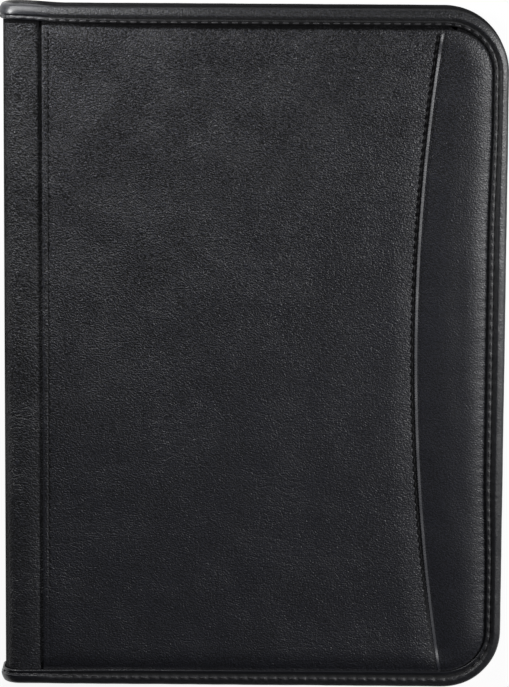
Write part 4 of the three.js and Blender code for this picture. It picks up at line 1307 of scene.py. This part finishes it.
class PADFOLIO_OT_pockets(bpy.types.Operator):
    """Makes the sleeves and card pockets on the linings, and the pen loop"""

    bl_idname = "padfolio.pockets"
    bl_label = "Inner pockets"

    def execute(self, context):
        c = case_shape()
        self.pad_sleeve(c)
        self.document_sleeve(c)
        self.card_pockets(c)
        self.pen_loop()
        return {"FINISHED"}

    def sleeve(self, c, cover, name, node, levels):
        """A sleeve sewn on round its edge and open at its head."""
        left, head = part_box(node)[0].x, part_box(node)[1].y
        hem = c.inside.hem
        y = np.append(panel_rows(c, 0.002, head), head - mm(0.3, 0.7, 1.5, 3.5, 4.5, 5))
        y = np.sort(y)
        near_right = mm(0, 3, 5.4, 6, 6.3, 6.6, 6.9, 7.2, 7.5, 7.8, 8.2, 8.6, 9, 10, 12)
        near_left = mm(0, 1, 2, 2.4, 2.8, 3.2, 3.6, 4, 5)
        x, y = grid_between(y, left, right_edge(c, y, c.sandwich_margin), near_left, near_right, 56)
        depth = stepped(c, x, y, levels)
        thick = c.inside.lining - 0.00005 * smooth(head - y, hem, hem + 0.0006)
        piece = shell(name, placed(cover, x, y, depth), placed(cover, x, y, depth + thick))
        settle(piece, "pocket_leather", cover + "_cover", stands_for=[node])
        flat_size(x, y)

    def pad_sleeve(self, c):
        """The sleeve that holds the backing of the pad."""
        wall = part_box("pad_backing")[0].x - c.layer_gap
        backing = 0.0008
        margin = c.inside.board_margin
        levels = [
            (margin - 0.0024, wall - 0.0015, c.pocket_margin_depth),
            (margin - 0.0011, wall - 0.0006, c.pocket_depth),
            (margin + 0.0002, wall, c.pocket_depth + backing + c.layer_gap),
        ]
        self.sleeve(c, "rear", "pad_sleeve_leather", "pad_pocket", levels)

    def document_sleeve(self, c):
        """The sleeve for loose sheets in the front cover."""
        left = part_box("document_pocket")[0].x
        margin = c.inside.board_margin
        levels = [
            (margin - 0.0026, left, c.pocket_margin_depth),
            (margin - 0.0013, left, c.pocket_depth),
        ]
        self.sleeve(c, "front", "document_sleeve_leather", "document_pocket", levels)

    def card_pockets(self, c):
        """Two stepped card pockets with a turned hem at the head."""
        corner = 0.004
        near = mm(0, 0.2, 0.6, 1.5, 2.2, 3)
        round_end = corner * (1 - np.cos(np.linspace(0, math.pi / 2, 9)))
        for node in ("card_pocket_upper", "card_pocket_lower"):
            low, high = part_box(node)
            y = np.concatenate([
                low.y + round_end,
                np.linspace(low.y + corner, high.y - corner, 40)[1:-1],
                high.y - round_end[::-1],
            ])
            past = np.maximum(np.abs(y - (low.y + high.y) / 2) - ((high.y - low.y) / 2 - corner), 0)
            cut = corner - np.sqrt(np.maximum(corner**2 - past**2, 0))
            x, y = grid_between(y, low.x + cut, high.x - cut, near, near, 36)
            beside = smooth(np.minimum(x - low.x, high.x - x), 0.002, 0.012)
            rise = 0.00018 * beside * smooth(y - low.y, 0.002, 0.012)
            hem = 0.0001 * smooth(y, high.y - c.inside.hem, high.y - c.inside.hem + 0.0005)
            inner = points_at(x, y, low.z + 0.00015 - rise * 0.5 - hem)
            piece = shell(node + "_leather", points_at(x, y, high.z), inner)
            settle(piece, "pocket_leather", "front_cover", stands_for=[node])

    def pen_loop(self):
        """A ribbed elastic loop."""
        low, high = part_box("pen_loop")
        thick, rib_height, rib_pitch = 0.0009, 0.00008, 0.0022
        turn = np.linspace(0, 2 * math.pi, 65)[:-1]
        middle = (low + high) / 2
        wide, tall = (high.x - low.x) / 2, (high.z - low.z) / 2
        y = np.linspace(low.y, high.y, 45)[:, None]
        rib = rib_height * np.cos(2 * math.pi * y / rib_pitch) - 0.0001

        def side(inset):
            x = middle.x + (wide - inset + rib) * np.cos(turn)
            return points_at(x, y, middle.z + (tall - inset + rib) * np.sin(turn))

        rings = np.concatenate([side(0.0), side(thick)[::-1]])
        points = rings.reshape(-1, 3)
        count, around = rings.shape[:2]
        index = np.arange(count * around).reshape(count, around)
        beside = np.roll(index, -1, axis=1)
        below = np.roll(index, -1, axis=0)
        faces = np.stack([index, beside, np.roll(beside, -1, axis=0), below], -1).reshape(-1, 4)
        faces = [tuple(face) for face in faces.tolist()]
        piece = new_piece("pen_loop_elastic", points, outward(points, faces))
        settle(piece, "elastic", "spine", stands_for=["pen_loop"])


class PADFOLIO_OT_writing_pad(bpy.types.Operator):
    """Makes the paper block and the tape of the writing pad"""

    bl_idname = "padfolio.writing_pad"
    bl_label = "Writing pad"

    def execute(self, context):
        self.paper()
        self.tape()
        return {"FINISHED"}

    def paper(self):
        """A stack of thin bundles of sheets, each lying a little differently."""
        low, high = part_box("pad_sheets")
        rng = np.random.default_rng(4)
        bundles = 16
        inset, corner, stray = 0.00016, 0.003, 0.00014
        x0, x1 = low.x + inset + corner, high.x - inset - corner
        y0, y1 = low.y + inset + corner, high.y - corner
        turns = np.linspace(0, math.pi / 2, 6)
        outline = np.array([
            (x + corner * math.cos(turn), y + corner * math.sin(turn))
            for quarter, (x, y) in enumerate([(x1, y1), (x0, y1), (x0, y0), (x1, y0)])
            for turn in turns + quarter * math.pi / 2
        ])
        n = len(outline)
        points, faces = [], []
        for level in range(bundles):
            shift = rng.uniform(-stray, stray, 2) * (level < bundles - 1)
            moved = outline + (shift[0], min(shift[1], 0))
            z0 = low.z + (high.z - low.z) * level / bundles
            z1 = high.z if level == bundles - 1 else low.z + (high.z - low.z) * (level + 0.985) / bundles
            base = len(points)
            points += [(x, y, z0) for x, y in moved] + [(x, y, z1) for x, y in moved]
            for k in range(n):
                following = (k + 1) % n
                faces.append((base + k, base + following, base + n + following, base + n + k))
            faces += [tuple(range(base + n - 1, base - 1, -1)), tuple(range(base + n, base + 2 * n))]
        piece = new_piece("pad_paper", np.array(points), faces)
        settle(piece, "paper", "writing_pad", stands_for=["pad_sheets"])

    def tape(self):
        """The cloth tape that turns over the head of the pad."""
        low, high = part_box("pad_header_tape")
        thick, bend = 0.00035, 0.0007
        turns = np.linspace(math.pi / 2, 0, 8)

        def side(depth):
            """One side of the tape, at a depth below its outside."""
            y = high.y - bend + (bend - depth) * np.cos(turns)
            z = high.z - bend + (bend - depth) * np.sin(turns)
            y = np.concatenate([[low.y], y, [high.y - depth]])
            z = np.concatenate([[high.z - depth], z, [low.z]])
            return points_at(np.linspace(low.x, high.x, 60)[:, None], y, z)

        piece = shell("pad_tape", side(0.0), side(thick))
        settle(piece, "cloth_tape", "writing_pad", stands_for=["pad_header_tape"])


# Stitches


def stitch_tree():
    """Thread stitches at even steps along the lines of a mesh."""
    tree = bpy.data.node_groups.new("stitches", "GeometryNodeTree")
    sockets = tree.interface
    sockets.new_socket("Geometry", in_out="INPUT", socket_type="NodeSocketGeometry")
    for name in ("Pitch", "Stitch length", "Thread thickness", "Slant"):
        sockets.new_socket(name, in_out="INPUT", socket_type="NodeSocketFloat")
    sockets.new_socket("Seed", in_out="INPUT", socket_type="NodeSocketInt")
    sockets.new_socket("Material", in_out="INPUT", socket_type="NodeSocketMaterial")
    sockets.new_socket("Geometry", in_out="OUTPUT", socket_type="NodeSocketGeometry")
    g = Graph(tree)
    given = g.node("NodeGroupInput")

    def asked(name):
        return Link(g, given.socket.node.outputs[name])

    curve = g.node("GeometryNodeMeshToCurve", None, {"Mesh": asked("Geometry")})
    spaced = {"Curve": curve, "Length": asked("Pitch")}
    points = g.node("GeometryNodeResampleCurve", {"mode": "LENGTH"}, spaced)
    grain = g.node("GeometryNodeMeshUVSphere", None, {"Segments": 8, "Rings": 7, "Radius": 0.5})
    scale = g.node("ShaderNodeCombineXYZ", None, {
        "X": asked("Thread thickness"),
        "Y": asked("Thread thickness"),
        "Z": asked("Stitch length"),
    })
    grain = g.node("GeometryNodeTransform", None, {"Geometry": grain, "Scale": scale})
    tangent = g.node("GeometryNodeInputTangent")
    along = g.node("FunctionNodeAlignRotationToVector", {"axis": "Z"}, {"Vector": tangent})
    spread = g.node("FunctionNodeRandomValue", None, {
        2: asked("Slant") * -0.5,
        3: asked("Slant") * 1.5,
        "Seed": asked("Seed"),
    }, 1)
    lean = g.node("ShaderNodeCombineXYZ", None, {"X": spread * 0.4, "Y": spread})
    rotation = {"Rotation": along, "Rotate By": lean}
    turned = g.node("FunctionNodeRotateRotation", {"rotation_space": "LOCAL"}, rotation)
    stitches = {"Points": points, "Instance": grain, "Rotation": turned}
    placed_grains = g.node("GeometryNodeInstanceOnPoints", None, stitches)
    real = g.node("GeometryNodeRealizeInstances", None, {"Geometry": placed_grains})
    soft = g.node("GeometryNodeSetShadeSmooth", None, {"Geometry": real})
    done = g.node("GeometryNodeSetMaterial", None, {"Geometry": soft, "Material": asked("Material")})
    g.node("NodeGroupOutput", None, {"Geometry": done})
    return tree


def plain_from_tree(name, source, tree, values):
    """The evaluated result of a node tree on a source object, as a plain mesh object."""
    modifier = source.modifiers.new("rule", "NODES")
    modifier.node_group = tree
    for item in tree.interface.items_tree:
        if item.item_type == "SOCKET" and item.in_out == "INPUT" and item.name in values:
            modifier[item.identifier] = values[item.name]
    bpy.context.view_layer.update()
    graph = bpy.context.evaluated_depsgraph_get()
    mesh = bpy.data.meshes.new_from_object(source.evaluated_get(graph))
    source.modifiers.remove(modifier)
    bpy.data.objects.remove(source)
    piece = bpy.data.objects.new(name, mesh)
    bpy.context.scene.collection.objects.link(piece)
    return piece


def stitched(name, lines, pitch, tree, thickness, material="thread"):
    """Stitches along lines of points."""
    s = settings("stitches")
    points, edges = [], []
    for line in lines:
        base = len(points)
        points += line.tolist()
        edges += [(base + k, base + k + 1) for k in range(len(line) - 1)]
    mesh = bpy.data.meshes.new(name + "_line")
    mesh.from_pydata(points, edges, [])
    source = bpy.data.objects.new(name + "_line", mesh)
    bpy.context.scene.collection.objects.link(source)
    values = {
        "Pitch": pitch,
        "Stitch length": pitch * s.fill,
        "Thread thickness": thickness,
        "Slant": s.slant,
        "Seed": s.seed,
        "Material": bpy.data.materials[material],
    }
    return plain_from_tree(name, source, tree, values)


class PADFOLIO_OT_stitches(bpy.types.Operator):
    """Sews the bindings, the seams, the pocket mouth and the inner pockets"""

    bl_idname = "padfolio.stitches"
    bl_label = "Stitches"

    def execute(self, context):
        c = case_shape()
        s = settings("stitches")
        tree = stitch_tree()
        path = binding_path(c)
        at, inward, normal = path[:3]
        u = np.full((len(at), 1), c.binding.stitch_from_edge)
        v = np.full(u.shape, -c.binding.thickness + 0.00008)
        reach = c.half_height - c.crown_start - c.head_margin
        y = np.linspace(-reach, reach, 400)
        for cover in ("front", "rear"):
            outside = binding_stitch_line(c, cover, path)[0]
            within = on_binding(cover, at, inward, normal, u, v)[:, 0]
            name = cover + "_binding_stitches"
            piece = stitched(name, [outside, within], s.binding_pitch, tree, s.thread)
            settle(piece, "thread", bend=fold_of(cover))
            lines = [self.sunk_line(c, cover, c.seam_x + c.stitch_from_fold, y, c.seam_ditch_depth)]
            if cover == "front":
                mouth = mouth_x(c, y) - c.stitch_from_fold
                lines.append(self.sunk_line(c, cover, mouth, y, c.mouth_ditch_depth))
            name = cover + "_seam_stitches"
            piece = stitched(name, lines, s.seam_pitch, tree, s.sunk_thread, "seam_thread")
            settle(piece, "seam_thread", cover + "_cover")
        self.inside_stitches(c, s, tree)
        return {"FINISHED"}

    def sunk_line(self, c, cover, x, y, ditch_depth):
        """Line of the thread in the ditch beside a folded edge."""
        x = np.broadcast_to(x, y.shape)
        valley = front_valley(c, x, y) if cover == "front" else 0
        return placed(cover, x, y, panel_depth(c, x, y) + valley + ditch_depth + 0.0001)

    def inside_stitches(self, c, s, tree):
        """Lines round the card pockets, and along the hems of the sleeves."""
        lines = []
        gap = 0.0016
        for node in ("card_pocket_upper", "card_pocket_lower"):
            low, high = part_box(node)
            z = low.z + 0.00012
            x0, x1, y0 = low.x + gap, high.x - gap, low.y + gap
            top, hem = high.y - 0.001, high.y - c.inside.hem + 0.001
            lines += [
                np.linspace((x0, top, z), (x0, y0, z), 40),
                np.linspace((x0, y0, z), (x1, y0, z), 60),
                np.linspace((x1, top, z), (x1, y0, z), 40),
                np.linspace((x0, hem, z - 0.0001), (x1, hem, z - 0.0001), 60),
            ]
        right = c.half_width - 0.014
        low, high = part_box("document_pocket")
        left, hem = low.x + 0.0018, high.y - 0.004
        z = cad_high.z - c.pocket_depth - c.inside.lining
        lines += [
            np.linspace((low.x + 0.003, hem, z), (right, hem, z), 120),
            np.linspace((left, high.y - 0.002, z), (left, low.y + 0.013, z), 200),
        ]
        piece = stitched("front_inside_stitches", lines, s.inside_pitch, tree, s.thread)
        settle(piece, "thread", "front_cover")
        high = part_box("pad_pocket")[1]
        left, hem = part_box("pad_backing")[0].x + 0.003, high.y - 0.004
        line = np.linspace((left, hem, high.z), (right, hem, high.z), 120)
        piece = stitched("rear_inside_stitches", [line], s.inside_pitch, tree, s.thread)
        settle(piece, "thread", "rear_cover")


class PADFOLIO_OT_stiff_parts(bpy.types.Operator):
    """Gives the boards and the pad's backing their finishes"""

    bl_idname = "padfolio.stiff_parts"
    bl_label = "Boards"

    def execute(self, context):
        finishes = {
            "front_board": "fibreboard",
            "rear_board": "fibreboard",
            "spine_stiffener": "fibreboard",
            "pad_backing": "chipboard",
        }
        for node, finish in finishes.items():
            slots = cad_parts[node].data.materials
            slots.clear()
            slots.append(bpy.data.materials[finish])
        return {"FINISHED"}


# Studio


class PADFOLIO_OT_stage(bpy.types.Operator):
    """Sets up the floor, the lamps, the world and the camera"""

    bl_idname = "padfolio.stage"
    bl_label = "Studio"

    def execute(self, context):
        studio = settings("studio")
        self.floor()
        self.lamp("head_lamp", (-0.11, 0.40, 0.42), 0.12, studio.head_lamp)
        self.lamp("corner_lamp", (-0.14, 0.25, 0.105), 0.11, studio.corner_lamp)
        self.lamp("side_lamp", (0.77, 0.205, 0.63), 0.22, studio.side_lamp)
        self.lamp("spine_lamp", (-0.32, 0.245, 0.22), 0.1, studio.spine_lamp)
        self.world(studio)
        self.camera(studio)
        context.scene.view_settings.view_transform = "Standard"
        return {"FINISHED"}

    def floor(self):
        """A pale floor that reads as white to the camera and still takes a soft shadow."""
        size, z = 12.0, -0.0002
        corners = [(-size, -size, z), (size, -size, z), (size, size, z), (-size, size, z)]
        mesh = bpy.data.meshes.new("floor")
        mesh.from_pydata(corners, [], [(0, 1, 2, 3)])
        floor = bpy.data.objects.new("floor", mesh)
        bpy.context.scene.collection.objects.link(floor)
        material = bpy.data.materials.new("pale_floor")
        material.use_nodes = True
        g = Graph(material.node_tree)
        g.tree.nodes.clear()
        tone = rgba(settings("colours").floor)
        lit = g.node("ShaderNodeBsdfDiffuse", None, {"Color": tone})
        glow = g.node("ShaderNodeEmission", None, {"Color": (1.0, 1.0, 1.0, 1.0), "Strength": 1.0})
        rays = g.node("ShaderNodeLightPath", None, None, "Is Camera Ray")
        outputs = rays.socket.node.outputs
        seen = rays + Link(g, outputs["Is Glossy Ray"]) + Link(g, outputs["Is Transmission Ray"])
        both = g.node("ShaderNodeMixShader", None, {0: seen * 0.93, 1: lit, 2: glow})
        g.node("ShaderNodeOutputMaterial", None, {"Surface": both})
        mesh.materials.append(material)

    def lamp(self, name, at, size, power):
        """A soft square lamp that faces the middle of the case."""
        data = bpy.data.lights.new(name, "AREA")
        data.size = size
        data.energy = power
        lamp = bpy.data.objects.new(name, data)
        lamp.location = at
        lamp.rotation_mode = "QUATERNION"
        lamp.rotation_quaternion = (-Vector(at)).to_track_quat("-Z", "Y")
        lamp.visible_camera = False
        bpy.context.scene.collection.objects.link(lamp)

    def world(self, studio):
        world = bpy.data.worlds.new("studio")
        world.use_nodes = True
        bpy.context.scene.world = world
        g = Graph(world.node_tree)
        g.tree.nodes.clear()
        white = (1.0, 1.0, 1.0, 1.0)
        around = g.node("ShaderNodeBackground", None, {"Color": white, "Strength": studio.world})
        seen = g.node("ShaderNodeBackground", None, {"Color": white, "Strength": 1.0})
        rays = g.node("ShaderNodeLightPath", None, None, "Is Camera Ray")
        both = g.node("ShaderNodeMixShader", None, {0: rays, 1: around, 2: seen})
        g.node("ShaderNodeOutputWorld", None, {"Surface": both})

    def camera(self, studio):
        tilt, yaw, roll = studio.camera_tilt, studio.camera_yaw, studio.camera_roll
        back = Vector((math.sin(yaw) * math.cos(tilt), math.sin(tilt), math.cos(yaw) * math.cos(tilt)))
        up = (Vector((0, 1, 0)) - back * back.y).normalized()
        right = up.cross(back)
        rolled_right = right * math.cos(roll) + up * math.sin(roll)
        rolled_up = up * math.cos(roll) - right * math.sin(roll)
        data = bpy.data.cameras.new("camera")
        data.lens = studio.lens
        data.shift_x, data.shift_y = studio.shift_x, studio.shift_y
        camera = bpy.data.objects.new("camera", data)
        turn = Matrix((rolled_right, rolled_up, back)).transposed()
        camera.matrix_world = Matrix.Translation(back * studio.camera_distance) @ turn.to_4x4()
        bpy.context.scene.collection.objects.link(camera)
        bpy.context.scene.camera = camera


STEPS = (
    PADFOLIO_OT_stage,
    PADFOLIO_OT_finishes,
    PADFOLIO_OT_padding,
    PADFOLIO_OT_panels,
    PADFOLIO_OT_hinges,
    PADFOLIO_OT_binding,
    PADFOLIO_OT_linings,
    PADFOLIO_OT_pockets,
    PADFOLIO_OT_writing_pad,
    PADFOLIO_OT_stitches,
    PADFOLIO_OT_stiff_parts,
)


class PADFOLIO_PT_panel(bpy.types.Panel):
    """Sizes, colours and steps of the padfolio"""

    bl_label = "Padfolio"
    bl_idname = "PADFOLIO_PT_panel"
    bl_space_type = "VIEW_3D"
    bl_region_type = "UI"
    bl_category = "Padfolio"

    def draw(self, context):
        for step in STEPS:
            self.layout.operator(step.bl_idname)
        for name, group in GROUPS.items():
            box = self.layout.box()
            box.label(text=group.__doc__)
            for key in group.__annotations__:
                box.prop(getattr(context.scene, name), key)


CLASSES = (*GROUPS.values(), *STEPS, PADFOLIO_PT_panel)


def register():
    for item in CLASSES:
        bpy.utils.register_class(item)
    for name, group in GROUPS.items():
        setattr(bpy.types.Scene, name, PointerProperty(type=group))


def unregister():
    for name in GROUPS:
        delattr(bpy.types.Scene, name)
    for item in reversed(CLASSES):
        bpy.utils.unregister_class(item)


def main():
    register()
    for step in STEPS:
        group, name = step.bl_idname.split(".")
        getattr(getattr(bpy.ops, group), name)()


if __name__ == "__main__":
    main()
